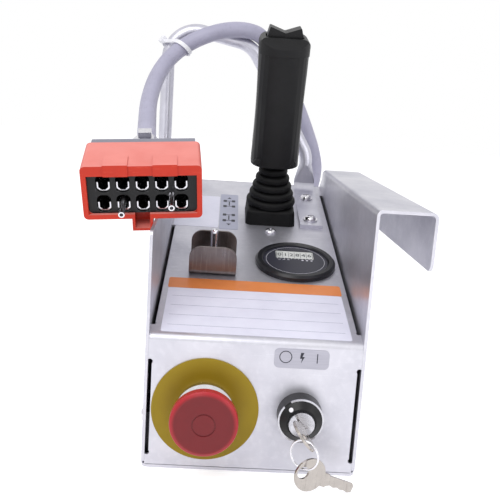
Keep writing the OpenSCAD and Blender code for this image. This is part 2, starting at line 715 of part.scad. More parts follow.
// Joystick
module stick_base() color([0.2, 0.2, 0.22]) on_panel(stick_x, stick_u) difference() {
    union() {
        translate([0, 0, -sheet_t - stick_flange_t]) linear_extrude(stick_flange_t)
            polygon(rounded(box_pts(stick_base_w, stick_base_l), boot_corner_r));
        translate([0, 0, stick_box_z0]) linear_extrude(-stick_box_z0 - sheet_t)
            polygon(rounded(box_pts(stick_box_w, stick_box_w), boot_corner_r));
    }
    translate([-(stick_hub_l / 2 + gap), 0, stick_pivot_z]) rotate([0, 90, 0])
        cylinder(h = stick_hub_l + 2 * gap, r = stick_hub_r + run_fit);
    stick_slot();
    for (s = [-1, 1]) translate([0, s * panel_screw_off, -sheet_t - stick_flange_t - over])
        cylinder(h = stick_flange_t + 2 * over, r = m5_r + clear);
}
// The opening that lets the shaft tilt
module stick_slot() across(-stick_hub_l / 2 - gap, stick_hub_l + 2 * gap)
    polygon([[-stick_hub_r, stick_pivot_z], [stick_hub_r, stick_pivot_z], [slot_half, over],
        [-slot_half, over]]);
slot_half = (over - stick_pivot_z) * tan(stick_tilt) + shaft_r / cos(stick_tilt) + over;
module stick_shaft() color([0.75, 0.75, 0.78]) on_panel(stick_x, stick_u) {
    translate([-stick_hub_l / 2, 0, stick_pivot_z]) rotate([0, 90, 0]) cylinder(h = stick_hub_l,
        r = stick_hub_r);
    translate([0, 0, stick_pivot_z]) cylinder(h = grip_z0 + shaft_top - stick_pivot_z, r = shaft_r);
}
// The boot's profile: one rounded rib after another between the foot and the neck
rib_n = 8;
function rib_pts(i) = let (z0 = boot_foot_h + (boot_h - boot_foot_h) * i / ribs,
    z1 = boot_foot_h + (boot_h - boot_foot_h) * (i + 1) / ribs,
    ra = boot_r0 + (boot_r1 - boot_r0) * (i + 0.5) / ribs)
    [for (k = [0:rib_n]) [ra - rib_depth + rib_depth * (k == 0 || k == rib_n ? rib_root_share : sin(180 * k / rib_n)),
        z0 + (z1 - z0) * (k == 0 ? 0 : k == rib_n ? 1 : 0.5 - cos(180 * k / rib_n) / 2)]];
rib_root_share = 0.1;
module boot() color([0.06, 0.06, 0.07]) on_panel(stick_x, stick_u) difference() {
    union() {
        hull() {
            linear_extrude(boot_wall) polygon(rounded(box_pts(boot_w, boot_w), boot_corner_r));
            translate([0, 0, boot_foot_h - boot_wall]) linear_extrude(boot_wall)
                polygon(rounded(box_pts(boot_foot_top_w, boot_foot_top_w), boot_corner_r));
        }
        rotate_extrude() polygon(concat([[0, boot_foot_h - boot_wall], [boot_r0 - rib_depth,
            boot_foot_h - boot_wall]],
            [for (i = [0:ribs - 1]) each rib_pts(i)], [[0, boot_h]]));
    }
    translate([0, 0, -over]) cylinder(h = boot_foot_h + over, r = boot_r0 - rib_depth - boot_wall);
    translate([0, 0, boot_foot_h - run_fit])
        cylinder(h = boot_h - boot_foot_h, r1 = boot_r0 - rib_depth - boot_wall, r2 = shaft_r + boot_wall);
    cylinder(h = boot_h + over, r = shaft_r + gap);
}
module panel_screws() color([0.85, 0.85, 0.88]) for (s = [-1, 1])
    on_panel(stick_x, stick_u + s * panel_screw_off) pan_screw(m5_r, m5_head_r, m5_head_h, 4 * sheet_t);
module grip_plan(grow = 0) polygon(rounded(box_pts(grip_w + 2 * grow, grip_d + 2 * grow), grip_corner_r));
module grip_body() color([0.07, 0.07, 0.08]) on_panel(stick_x, stick_u) difference() {
    intersection() {
        translate([0, 0, grip_z0]) linear_extrude(grip_z1 - grip_z0) grip_plan();
        // front view: a slight waist
        rearward(-grip_d, 2 * grip_d) polygon([
            for (k = [0:8]) [-grip_w / 2 + grip_waist * sin(180 * k / 8), grip_z0 + (grip_z1 - grip_z0)
                * k / 8],
            for (k = [8:-1:0]) [grip_w / 2 - grip_waist * sin(180 * k / 8),
                grip_z0 + (grip_z1 - grip_z0) * k / 8]]);
        // side view: a palm swell towards the operator and finger grooves on the far side
        across(-grip_w, 2 * grip_w) polygon([
            for (k = [0:10]) [-grip_d / 2 + palm_share[k] * grip_d, grip_z0 + (grip_z1 - grip_z0) * k / 10],
            for (k = [10:-1:0]) [grip_d / 2 - finger_share[k] * grip_d, grip_z0 + (grip_z1 - grip_z0)
                * k / 10]]);
    }
    translate([0, 0, grip_z0 - over]) cylinder(h = shaft_top + over, r = shaft_r + run_fit);
    // slot of the trigger on the far side
    translate([-trigger_w / 2 - gap, grip_d / 2 - trigger_depth * 2, trigger_z0 - trigger_pin_r])
        cube([trigger_w + 2 * gap, trigger_depth * 3, trigger_z1 - trigger_z0 + trigger_pin_r + gap + over]);
    translate([-trigger_w, grip_d / 2 - trigger_depth, trigger_z1 - trigger_pin_r])
        rotate([0, 90, 0]) cylinder(h = 2 * trigger_w, r = trigger_pin_r + run_fit);
    for (s = [-1, 1]) translate([s * grip_screw_x, -grip_d, grip_z0 + grip_screw_up]) rotate([-90, 0, 0])
        cylinder(h = grip_d, r = grip_screw_r + run_fit);
}
palm_share = [0.03, 0.02, 0.01, 0, 0, 0.01, 0.02, 0.03, 0.03, 0.02, 0];
finger_share = [0.02, 0.05, 0.02, 0.06, 0.02, 0.05, 0.01, 0, 0, 0, 0];
module grip_screws() color([0.25, 0.25, 0.27]) on_panel(stick_x, stick_u)
    for (s = [-1, 1]) translate([s * grip_screw_x, -grip_screw_y - grip_screw_proud,
        grip_z0 + grip_screw_up]) rotate([-90, 0, 0]) difference() {
        cylinder(h = grip_screw_y + grip_screw_proud, r = grip_screw_r);
        translate([-grip_screw_r * recess_w_share, -grip_screw_r, -over])
            cube([2 * grip_screw_r * recess_w_share, 2 * grip_screw_r, over + grip_screw_proud]);
    }
grip_screw_y = sqrt(pow(grip_corner_r, 2) - pow(grip_screw_x - (grip_w / 2 - grip_corner_r), 2))
    + grip_d / 2 - grip_corner_r;
cap_h = grip_z2 - grip_z1;
module grip_cap() color([0.05, 0.05, 0.06]) on_panel(stick_x, stick_u) difference() {
    intersection() {
        translate([0, 0, grip_z1]) linear_extrude(cap_h) grip_plan(cap_extra);
        rearward(-grip_d, 2 * grip_d) polygon(rounded([[-grip_w / 2, grip_z1], [grip_w / 2, grip_z1],
            [grip_w / 2 + cap_extra, grip_z2], [-grip_w / 2 - cap_extra, grip_z2]], [0, 0,
                cap_corner_r, cap_corner_r]));
        across(-grip_w, 2 * grip_w) polygon(rounded([[-grip_d / 2 - cap_extra, grip_z1],
            [grip_d / 2 + cap_extra, grip_z1],
            [grip_d / 2 + cap_extra, grip_z2], [-grip_d / 2 + cap_bevel_l, grip_z2],
            [-grip_d / 2 - cap_extra, grip_z2 - cap_bevel_h]], [0, 0, cap_corner_r, 0, 0]));
    }
    translate([0, 0, grip_z2 - rocker_skirt - gap]) linear_extrude(rocker_skirt + gap + over)
        polygon(box_pts(rocker_w + 2 * gap, rocker_d + 2 * gap));
    translate([0, 0, rocker_z]) rotate([90, 0, 0])
        cylinder(h = rocker_d + 2 * rocker_pin_l, r = rocker_pin_r + run_fit, center = true);
}
rocker_pin_l = 3;
rocker_z = grip_z2 - rocker_pin_r - 2 * gap;
// The thumb rocker: two raised ends and a valley, on a pin through its middle
rocker_depth = rocker_skirt - rocker_w / 2 * sin(rocker_swing) - gap;
module rocker() color([0.03, 0.03, 0.04]) on_panel(stick_x, stick_u) {
    rearward(-rocker_d / 2, rocker_d) polygon(rounded([[-rocker_w * rocker_foot_share,
        grip_z2 - rocker_depth],
        [rocker_w * rocker_foot_share, grip_z2 - rocker_depth],
        [rocker_w / 2 - gap, grip_z2], [rocker_w * rocker_top_share, grip_z2 + rocker_rise], [0,
            grip_z2 + rocker_dip],
        [-rocker_w * rocker_top_share, grip_z2 + rocker_rise], [-rocker_w / 2 + gap, grip_z2]],
        [over, over, 0, over, over, over, 0]));
    translate([0, 0, rocker_z]) rotate([90, 0, 0])
        cylinder(h = rocker_d + 2 * rocker_pin_l - 2 * gap, r = rocker_pin_r, center = true);
}
rocker_foot_share = 0.38;
rocker_top_share = 0.42;
// The trigger: a curved lever that turns on a pin at its upper end
module trigger() color([0.1, 0.1, 0.11]) on_panel(stick_x, stick_u) {
    across(-trigger_w / 2, trigger_w) polygon(rounded([
        [grip_d / 2 - trigger_depth - trigger_pin_r, trigger_z1 - trigger_pin_r],
        [grip_d / 2 - trigger_depth - trigger_pin_r, trigger_z1 - trigger_pin_r * 3],
        [grip_d / 2 - trigger_depth / 2, (trigger_z0 + trigger_z1) / 2],
        [grip_d / 2 + trigger_out - trigger_depth, trigger_z0],
        [grip_d / 2 + trigger_out, trigger_z0],
        [grip_d / 2 + trigger_depth / 2, (trigger_z0 + trigger_z1) / 2],
        [grip_d / 2 + gap, trigger_z1 - trigger_pin_r], [grip_d / 2 - trigger_depth, trigger_z1]],
        [0, 0, trigger_out, over, over, trigger_out, over, over]));
    translate([-trigger_w / 2 - trigger_pin_l, grip_d / 2 - trigger_depth, trigger_z1 - trigger_pin_r])
        rotate([0, 90, 0]) cylinder(h = trigger_w + 2 * trigger_pin_l, r = trigger_pin_r);
}
trigger_pin_l = 3;

// Guard hoop: a round bar bent in one upright plane, its ends flattened into feet
leg_turn = 90 - panel_slope;
foot_end = [0, -depth / 2 + foot_u1 * cos(panel_slope), front_h + foot_u1 * sin(panel_slope)];
foot_arc_r = foot_bend_r + foot_t / 2;
hoop_y = foot_end[1] + foot_arc_r * sin(leg_turn) * cos(panel_slope)
    - (foot_arc_r * (1 - cos(leg_turn)) + foot_t / 2) * sin(panel_slope);
leg_z = foot_end[2] + foot_arc_r * sin(leg_turn) * sin(panel_slope)
    + (foot_arc_r * (1 - cos(leg_turn)) + foot_t / 2) * cos(panel_slope);
hoop_left_x = -outer_w / 2 - hoop_left_gap;
shoulder_z = hoop_top_z - (hoop_shoulder_x - hoop_left_x) * tan(hoop_high_slope);
knee_z = shoulder_z - (hoop_right_x - hoop_shoulder_x) * tan(hoop_low_slope);
right_blend_z = leg_z + foot_rise;
hoop_pts = [[hoop_left_x, left_blend_top], [hoop_left_x, hoop_top_z], [hoop_shoulder_x, shoulder_z],
    [hoop_right_x, knee_z], [hoop_right_x, right_blend_z + foot_blend_l]];
function bearing(a, b) = atan2(b[0] - a[0], b[1] - a[1]);
function bend_turn(p, i) = bearing(p[i], p[i + 1]) - bearing(p[i - 1], p[i]);
function tan_len(p, r, i) = i == 0 || i == len(p) - 1 ? 0 : r * tan(bend_turn(p, i) / 2);
// Clockwise arcs along points in X and Z, joined by straight runs that are a hair
// thinner and enter the arcs, or whatever the bar ends in, by the overrun
module bent_bar(p, bend, r) {
    for (i = [0:len(p) - 2]) let (d = unit(p[i + 1] - p[i]), a = p[i] + d * (tan_len(p, bend, i) - over),
        l = norm(p[i + 1] - p[i]) - tan_len(p, bend, i) - tan_len(p, bend, i + 1) + 2 * over)
        translate([a[0], 0, a[1]]) rotate([0, bearing(p[i], p[i + 1]), 0]) cylinder(h = l, r = r - run_fit);
    for (i = [1:len(p) - 2]) let (d = unit(p[i] - p[i - 1]), t = bend_turn(p, i),
        a = p[i] - d * tan_len(p, bend, i), c = a + bend * [d[1], -d[0]])
        translate([c[0], 0, c[1]]) rotate([90, 0, 0]) rotate(atan2(d[0], -d[1]) - t)
            rotate_extrude(angle = t) translate([bend, 0]) circle(r);
}
module guard_hoop() color([0.8, 0.8, 0.84]) difference() {
    union() {
        translate([0, hoop_y, 0]) bent_bar(hoop_pts, hoop_bend_r, hoop_r);
        // right foot: flat on the panel, then bent up to the leg
        on_panel(hoop_right_x, 0) translate([-foot_w / 2, foot_u0, 0]) cube([foot_w, foot_u1 - foot_u0,
            foot_t]);
        on_panel(hoop_right_x - foot_w / 2, foot_u1, foot_t + foot_bend_r) rotate([90, 0, 90]) rotate(-90)
            rotate_extrude(angle = leg_turn) translate([foot_bend_r, 0]) square([foot_t, foot_w]);
        hull() {
            translate([hoop_right_x - foot_w / 2 + run_fit, hoop_y - foot_t / 2 + run_fit, leg_z - gap])
                cube([foot_w - 2 * run_fit, foot_t - 2 * run_fit, foot_rise + gap]);
            translate([hoop_right_x, hoop_y, right_blend_z + foot_blend_l - gap])
                cylinder(h = gap, r = hoop_r, $fn = hull_fn);
        }
        // left foot: flat against the outside of the left plate
        hull() {
            translate([-outer_w / 2 - foot_t + run_fit, hoop_y - foot_w / 2 + run_fit, left_foot_z1 - gap])
                cube([foot_t - 2 * run_fit, foot_w - 2 * run_fit, gap / 2]);
            translate([hoop_left_x, hoop_y, left_blend_top - gap]) cylinder(h = gap, r = hoop_r,
                $fn = hull_fn);
        }
        translate([-outer_w / 2 - foot_t, hoop_y - foot_w / 2, left_foot_z0])
            cube([foot_t, foot_w, left_foot_z1 - left_foot_z0]);
    }
    for (u = foot_screw_u) on_panel(hoop_right_x, u, -over) cylinder(h = foot_t + 2 * over,
        r = m5_r + clear);
    for (z = left_foot_screw_z) translate([-outer_w / 2 - foot_t - over, hoop_y, z]) rotate([0, 90, 0])
        cylinder(h = foot_t + 2 * over, r = m5_r + clear);
}
module at_foot_screws(h) {
    for (u = foot_screw_u) on_panel(hoop_right_x, u, foot_t + h) children();
    for (z = left_foot_screw_z) translate([-outer_w / 2 - foot_t - h, hoop_y, z]) rotate([0, -90, 0])
        children();
}
module hoop_washers() color([0.85, 0.85, 0.88]) at_foot_screws(0) difference() {
    cylinder(h = washer_t, r = washer_r);
    translate([0, 0, -over]) cylinder(h = washer_t + 2 * over, r = m5_r + clear);
}
module hoop_screws() color([0.85, 0.85, 0.88]) at_foot_screws(washer_t)
    pan_screw(m5_r, m5_head_r, m5_head_h, washer_t + foot_t + 3 * sheet_t);

// Cable gland on the rear plate
module cable_gland() color([0.1, 0.1, 0.11]) translate([gland_x, depth / 2, gland_z]) rotate([-90, 0, 0]) {
    translate([0, 0, -sheet_t - gland_nut_t - over]) cylinder(h = sheet_t + gland_nut_t + over,
        r = gland_thread_r);
    hex(gland_flange_r, gland_flange_t);
    translate([0, 0, gland_flange_t]) cylinder(h = gland_l / 2, r = gland_flange_r * gland_dome_share);
    translate([0, 0, gland_flange_t + gland_l / 2]) cylinder(h = gland_l / 2 - gland_flange_t,
        r1 = gland_flange_r * gland_dome_share, r2 = gland_tip_r);
}
gland_dome_share = 0.86;
module gland_nut() color([0.1, 0.1, 0.11]) translate([gland_x, depth / 2 - sheet_t - gland_nut_t, gland_z])
    rotate([-90, 0, 0]) difference() {
        hex(gland_flange_r, gland_nut_t);
        translate([0, 0, -over]) cylinder(h = gland_nut_t + 2 * over, r = gland_thread_r + run_fit);
    }

// Plug at the cable's end, in its own frame: X right, Y back from the open face, Z up
function about_y(p, a) = [p[0] * cos(a) + p[2] * sin(a), p[1], -p[0] * sin(a) + p[2] * cos(a)];
function about_x(p, a) = [p[0], p[1] * cos(a) - p[2] * sin(a), p[1] * sin(a) + p[2] * cos(a)];
function about_z(p, a) = [p[0] * cos(a) - p[1] * sin(a), p[0] * sin(a) + p[1] * cos(a), p[2]];
function plug_dir(p) = about_z(about_x(about_y(p, plug_roll), plug_pitch), plug_yaw);
module on_plug() translate(plug_place) rotate([0, 0, plug_yaw]) rotate([plug_pitch, 0, 0])
    rotate([0, plug_roll, 0]) children();
hood_z = plug_h / 2 + over;
module plug_ring_2d(w, h, z) translate([0, z]) polygon(rounded(box_pts(w, h), plug_corner_r));
module plug_housing() color([0.85, 0.25, 0.12]) on_plug() difference() {
    union() {
        rearward(0, plug_d) plug_ring_2d(plug_w, plug_h, plug_h / 2);
        for (x = plug_tab_x) translate([x - plug_tab_w / 2, -plug_tab_t / 2, plug_h - plug_wall]) {
            cube([plug_tab_w, plug_tab_l, plug_wall + plug_tab_t / 2]);
            translate([0, 0, -plug_tab_drop]) cube([plug_tab_w, plug_tab_t, plug_tab_drop + over]);
        }
        translate([plug_key_x - plug_key_w / 2, 0, -plug_key_h]) cube([plug_key_w, plug_key_l,
            plug_key_h + plug_wall]);
    }
    translate([0, plug_tab_t / 2, 0]) rearward(0, plug_d)
        plug_ring_2d(plug_w - 2 * plug_wall, plug_h - 2 * plug_wall, plug_h / 2);
    translate([-plug_w / 2 + plug_wall, -over, plug_wall])
        cube([plug_w - 2 * plug_wall, over + plug_tab_t, plug_h - 2 * plug_wall - plug_tab_drop]);
    translate([plug_key_x - plug_key_w / 2 + plug_key_wall, -over, -plug_key_h + plug_key_wall])
        cube([plug_key_w - 2 * plug_key_wall, plug_key_l - plug_key_wall + over, plug_key_h + plug_wall]);
}
module at_cavities() for (i = [-2:2], j = [-0.5, 0.5])
    translate([i * cavity_pitch_x, 0, cavity_z + j * cavity_pitch_z]) children();
module plug_insert() color([0.06, 0.07, 0.07]) on_plug() difference() {
    rearward(insert_in, plug_d - insert_in)
        plug_ring_2d(plug_w - 2 * plug_wall - run_fit, plug_h - 2 * plug_wall - run_fit, plug_h / 2);
    at_cavities() rearward(insert_in - over, plug_d - insert_in - insert_back + over)
        polygon(rounded(box_pts(cavity_w, cavity_h), cavity_r));
    translate([pin_xz[1][0], insert_in - over, pin_xz[1][1]]) rotate([-90, 0, 0])
        cylinder(h = plug_d - insert_in - insert_back + over, r = pin_r + run_fit);
}
// An open trough that lies on the floor of its cavity
module trough_2d(w, h) polygon([[-w / 2, h], [-w / 2, contact_chamfer], [-w / 2 + contact_chamfer, 0],
    [w / 2 - contact_chamfer, 0], [w / 2, contact_chamfer], [w / 2, h]]);
module plug_contacts() color([0.8, 0.8, 0.82]) on_plug() at_cavities()
    translate([0, 0, contact_lift - cavity_h / 2]) rearward(insert_in + contact_in,
        plug_d - insert_in - insert_back - contact_in) difference() {
            trough_2d(contact_w, contact_h);
            translate([0, contact_t]) trough_2d(contact_w - 2 * contact_t, contact_h);
        }
module plug_pins() color([0.82, 0.82, 0.85]) on_plug() for (p = pin_xz)
    translate([p[0], insert_in - pin_out, p[1]]) rotate([-90, 0, 0]) difference() {
        cylinder(h = pin_out + plug_d - insert_in - insert_back, r = pin_r);
        translate([0, 0, -over]) cylinder(h = pin_bore_l + over, r = pin_bore_r);
    }
module plug_hood() color([0.5, 0.5, 0.55]) on_plug() {
    intersection() {
        linear_extrude(2 * plug_h) polygon(rounded([[-hood_w / 2, plug_d], [hood_w / 2, plug_d],
            [hood_w / 2, plug_d + hood_flat_l], [hood_neck_w / 2, plug_d + hood_l],
            [-hood_neck_w / 2, plug_d + hood_l], [-hood_w / 2, plug_d + hood_flat_l]],
            [0, 0, plug_corner_r, plug_corner_r, plug_corner_r, plug_corner_r]));
        across(-hood_w, 2 * hood_w) polygon(rounded([[plug_d, hood_z - hood_h / 2], [plug_d + hood_l,
            hood_z - hood_neck_r],
            [plug_d + hood_l, hood_z + hood_neck_r], [plug_d + hood_flat_l, hood_z + hood_h / 2],
            [plug_d, hood_z + hood_h / 2]], [0, plug_corner_r, plug_corner_r, plug_corner_r, 0]));
    }
    translate([0, plug_d + hood_l - over, hood_z]) rotate([-90, 0, 0])
        cylinder(h = hood_neck_l + over, r = hood_neck_r);
}
module plug_clamp() color([0.9, 0.9, 0.92]) on_plug()
    translate([0, plug_d + hood_l + (hood_neck_l - clamp_w) / 2, hood_z]) {
        rotate([-90, 0, 0]) difference() {
            cylinder(h = clamp_w, r = hood_neck_r + clamp_t);
            translate([0, 0, -over]) cylinder(h = clamp_w + 2 * over, r = hood_neck_r + run_fit);
        }
        translate([-clamp_lug_w / 2, 0, hood_neck_r + clamp_t / 2]) cube([clamp_lug_w, clamp_w,
            clamp_lug_h]);
    }

// Cable: from the gland over the hoop to the plug. The points follow its lie.
gland_mouth = [gland_x, depth / 2 + gland_l, gland_z];
plug_mouth = plug_place + plug_dir([0, plug_d + hood_l + hood_neck_l, hood_z]);
cable_pts = [[54, 182, 117], [64, 196, 140], [69, 200, 165], [66, 198, 184], [56, 190, 208],
    [42, 176, 235], [25, 154, 262], [10, 134, 283], [-2, 120, 294], [-17, 108.5, 296.5], [-35, 103, 294],
    [-54, 101, 287], [-70, 98, 277], [-82, 87, 264], [-89, 65, 247.5], [-90.5, 31, 229], [-87.5, -5, 213]];
route = concat([gland_mouth - [0, gland_l, 0], gland_mouth, gland_mouth + [0, cable_r / 2, 0]], cable_pts,
    [plug_mouth + plug_dir([0, cable_r / 2, 0]), plug_mouth, plug_mouth - plug_dir([0, gland_l, 0])]);
function spline(p, i, t) = (2 * p[i] + (p[i + 1] - p[i - 1]) * t
    + (2 * p[i - 1] - 5 * p[i] + 4 * p[i + 1] - p[i + 2]) * t * t
    + (3 * p[i] - p[i - 1] - 3 * p[i + 1] + p[i + 2]) * t * t * t) / 2;
function swept_line(p, n) = [for (i = [1:len(p) - 3]) for (k = [0:n - 1])
    if (k == 0 || (i > 1 && i < len(p) - 3)) spline(p, i, k / n), p[len(p) - 2]];
cable_line = swept_line(route, cable_steps);
cable_ref = unit([0.3, 1, -0.6]); // a direction that the cable never runs along
function tangent(p, i) = i == 0 ? [0, 1, 0] : i == len(p) - 1 ? -plug_dir([0, 1, 0])
    : unit(p[i + 1] - p[i - 1]);
function cable_ring(p, i) = let (t = tangent(p, i), a = unit(cross(cable_ref, t)), b = cross(t, a))
    [for (k = [0:cable_sides - 1]) p[i] + cable_r * (a * cos(360 * k / cable_sides)
        + b * sin(360 * k / cable_sides))];
module cable() color([0.58, 0.57, 0.66]) {
    n = len(cable_line);
    m = cable_sides;
    polyhedron(points = [for (i = [0:n - 1]) each cable_ring(cable_line, i)],
        faces = concat([for (k = [1:m - 2]) [0, k, k + 1]],
            [for (k = [1:m - 2]) [(n - 1) * m, (n - 1) * m + k + 1, (n - 1) * m + k]],
            [for (i = [0:n - 2], k = [0:m - 1]) each [[i * m + k, (i + 1) * m + k, i * m + (k + 1) % m],
                [i * m + (k + 1) % m, (i + 1) * m + k, (i + 1) * m + (k + 1) % m]]]));
}
echo(cable_length = len_of(cable_line), cable_rings = len(cable_line));
function len_of(p, i = 1) = i == len(p) ? 0 : norm(p[i] - p[i - 1]) + len_of(p, i + 1);

// A plastic tie that holds the cable to the hoop's first bend. Its plane lies between
// the one square to the cable and the one square to the bar.
tie_bar = [hoop_left_x + hoop_bend_r * (1 - cos(tie_turn)), hoop_y,
    hoop_top_z - tan_len(hoop_pts, hoop_bend_r, 1) + hoop_bend_r * sin(tie_turn)];
tie_cable = cable_pts[tie_at];
tie_lie = [sin(tie_turn), 0, cos(tie_turn)] - unit(cable_pts[tie_at + 1] - cable_pts[tie_at - 1]);
tie_x = unit(tie_cable - tie_bar);
tie_y = unit(cross(tie_lie, tie_x));
tie_z = cross(tie_x, tie_y);
tie_d = norm(tie_cable - tie_bar);
module tie_loop(r) {
    circle(r);
    translate([tie_d, 0]) circle(r);
    translate([0, -r]) square([tie_d, 2 * r]);
}
module zip_tie() color([0.93, 0.93, 0.95]) multmatrix([
        [tie_x[0], tie_y[0], tie_z[0], tie_bar[0]], [tie_x[1], tie_y[1], tie_z[1], tie_bar[1]],
        [tie_x[2], tie_y[2], tie_z[2], tie_bar[2]]]) {
    translate([0, 0, -tie_w / 2]) linear_extrude(tie_w) difference() {
        tie_loop(tie_r);
        tie_loop(tie_r - tie_t);
    }
    translate([-tie_head / 2, -tie_r - tie_head / 2, -tie_head / 2]) cube([tie_head,
        tie_head / 2 + tie_t / 2, tie_head]);
}

// Board inside the housing
module at_standoffs() for (s = [-1, 1], t = [-1, 1])
    translate([s * (board_w / 2 - board_edge), board_y + t * (board_l / 2 - board_edge), sheet_t])
        children();
module standoffs() color([0.8, 0.75, 0.5]) at_standoffs() cylinder(h = standoff_h, r = standoff_r);
board_z = sheet_t + standoff_h;
module control_board() color([0.1, 0.35, 0.18]) translate([0, board_y, board_z])
    linear_extrude(board_t) polygon(rounded(box_pts(board_w, board_l), board_t));
module board_parts() color([0.2, 0.2, 0.24]) translate([0, board_y, board_z + board_t]) {
    for (i = [0:relay_count - 1])
        translate([-board_w / 2 + board_edge * 2,
            -board_l / 2 + board_edge + i * relay_l * relay_pitch_share, 0])
            cube([relay_w, relay_l, relay_h]);
    translate([board_w / 2 - 2 * board_edge - strip_w, -board_l / 2 + board_edge * 2, 0])
        cube([strip_w, board_l - board_edge * 4, strip_h]);
}
relay_pitch_share = 1.3;

base_plate();
control_panel();
left_side_plate();
right_side_plate();
rear_plate();
corner_brackets();
side_screws();
base_screws();
stop_disc();
stop_collar();
stop_nut();
stop_contact_block();
stop_stem();
stop_cap();
legend_plate();
key_bezel();
key_rim();
key_contact_block();
lock_cylinder();
key();
key_ring();
spare_key();
toggle_guard();
toggle_bushing();
toggle_nut();
toggle_body();
toggle_lever();
meter_bezel();
meter_face();
meter_window();
meter_case();
meter_clamp();
stick_base();
stick_shaft();
boot();
panel_screws();
grip_body();
grip_cap();
grip_screws();
rocker();
trigger();
guard_hoop();
hoop_screws();
hoop_washers();
cable_gland();
gland_nut();
cable();
zip_tie();
plug_hood();
plug_clamp();
plug_housing();
plug_insert();
plug_contacts();
plug_pins();
standoffs();
control_board();
board_parts();
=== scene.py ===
# %% [markdown]
# # A platform control box, dressed for its portrait
# The solids of the box come packed from its CAD model, so every piece here starts from a
# place that is already right. This lesson gives each sheet, screw and grip its finish, and
# swaps the plain solids of the soft and moulded pieces for shapes with finer modelling.

# %% Load the frame
import json
import math

import bmesh
import bpy
from mathutils import Matrix, Vector


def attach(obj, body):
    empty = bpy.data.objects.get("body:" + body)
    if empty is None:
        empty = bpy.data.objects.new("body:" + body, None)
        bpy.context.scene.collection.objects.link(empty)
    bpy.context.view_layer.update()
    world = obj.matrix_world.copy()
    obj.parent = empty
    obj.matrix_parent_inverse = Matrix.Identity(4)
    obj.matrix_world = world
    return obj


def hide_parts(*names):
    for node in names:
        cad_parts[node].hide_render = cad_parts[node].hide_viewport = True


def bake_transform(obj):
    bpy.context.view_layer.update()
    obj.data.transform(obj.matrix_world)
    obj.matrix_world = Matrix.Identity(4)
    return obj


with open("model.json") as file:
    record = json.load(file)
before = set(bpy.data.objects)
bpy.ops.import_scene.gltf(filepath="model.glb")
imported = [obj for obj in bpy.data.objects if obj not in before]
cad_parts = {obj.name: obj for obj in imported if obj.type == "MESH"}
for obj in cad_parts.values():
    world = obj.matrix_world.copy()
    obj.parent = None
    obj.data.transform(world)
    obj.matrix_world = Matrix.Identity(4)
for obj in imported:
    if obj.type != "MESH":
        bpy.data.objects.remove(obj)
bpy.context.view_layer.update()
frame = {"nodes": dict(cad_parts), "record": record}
nodes = frame["nodes"]
scene = bpy.context.scene
scene.view_settings.view_transform = "Standard"

# %% [markdown]
# ## The camera
# The photograph was taken from a little above and in front of the box, through a moderately
# long lens. The place and the turn of the camera were found by matching the corners of the
# sheet metal with their places in the picture. A small roll belongs to the real shot.

# %% Camera
FRAME_PIXELS = 500
FOCAL_PIXELS = 725.3
SENSOR_MM = 36.0
camera_data = bpy.data.cameras.new("portrait_camera")
camera_data.sensor_width = SENSOR_MM
camera_data.lens = SENSOR_MM * FOCAL_PIXELS / FRAME_PIXELS
camera = bpy.data.objects.new("portrait_camera", camera_data)
scene.collection.objects.link(camera)
camera.location = (-0.02608, -0.56822, 0.23257)
camera.rotation_euler = [math.radians(a) for a in (78.575, -3.754, -1.622)]
scene.camera = camera
print("lens", round(camera_data.lens, 1), "mm")

# %% [markdown]
# ## Helpers for shape and place
# Two frames carry almost every piece: the sloped panel and the front face. A piece is drawn
# flat in its frame, in millimetres, and one matrix then puts its mesh where it belongs, so
# the object itself can stay at the origin, unturned.

# %% Frames and the last step of every piece
MM = 0.001
DEPTH = 0.276
FRONT_HEIGHT = 0.089
PANEL_SLOPE = math.radians(14)
PLUG_PLACE = (-0.0755, -0.114, 0.157)
PLUG_TURNS = ((5.1, "Z"), (18.6, "X"), (-4.3, "Y"))
WELD = 1e-6


def on_panel(x, u, h=0.0):
    """Matrix from millimetres in the panel's frame at x, u, h to the row frame."""
    tilt = Matrix.Rotation(PANEL_SLOPE, 4, "X")
    corner = Matrix.Translation((0, -DEPTH / 2, FRONT_HEIGHT))
    return corner @ tilt @ Matrix.Translation((x * MM, u * MM, h * MM)) @ Matrix.Scale(MM, 4)


def on_front(x, z, out=0.0):
    """Matrix from millimetres in the front face's frame, local Z outwards."""
    face = Matrix.Translation((x * MM, -DEPTH / 2 - out * MM, z * MM))
    return face @ Matrix.Rotation(math.radians(90), 4, "X") @ Matrix.Scale(MM, 4)


def on_plug():
    """Matrix from millimetres in the plug's own frame, open face forwards."""
    place = Matrix.Translation(PLUG_PLACE)
    for degrees, axis in PLUG_TURNS:
        place = place @ Matrix.Rotation(math.radians(degrees), 4, axis)
    return place @ Matrix.Scale(MM, 4)


def as_object(shape, name, material, smooth):
    """Puts a bmesh in the scene with one finish, smooth up to an angle in degrees."""
    mesh = bpy.data.meshes.new(name)
    shape.to_mesh(mesh)
    shape.free()
    made = bpy.data.objects.new(name, mesh)
    scene.collection.objects.link(made)
    mesh.materials.append(material)
    if smooth:
        mesh.shade_smooth()
        mesh.set_sharp_from_angle(angle=math.radians(smooth))
    return made


def piece(shape, name, body, material, place=None, smooth=40, stands_for=()):
    """Turns a bmesh into a finished object that rides on a body."""
    if place is not None:
        shape.transform(place)
    bmesh.ops.remove_doubles(shape, verts=shape.verts, dist=WELD)
    made = as_object(shape, name, material, smooth)
    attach(made, body)
    if stands_for:
        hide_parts(*stands_for)
    return made


print("plug at", [round(v, 3) for v in on_plug().translation])

# %% [markdown]
# ## Ways to start a shape
# A turned part and a ring are outlines spun about the axis. A plate and a cut-out are flat
# outlines given a thickness, as a stamping or a printed mark has. Figures come from a text
# object that is turned into faces. Shapes that belong to one moulding are joined.

# %% Turned part, ring, plate, cut-out, figures and joining
WELD_MM = 1e-4


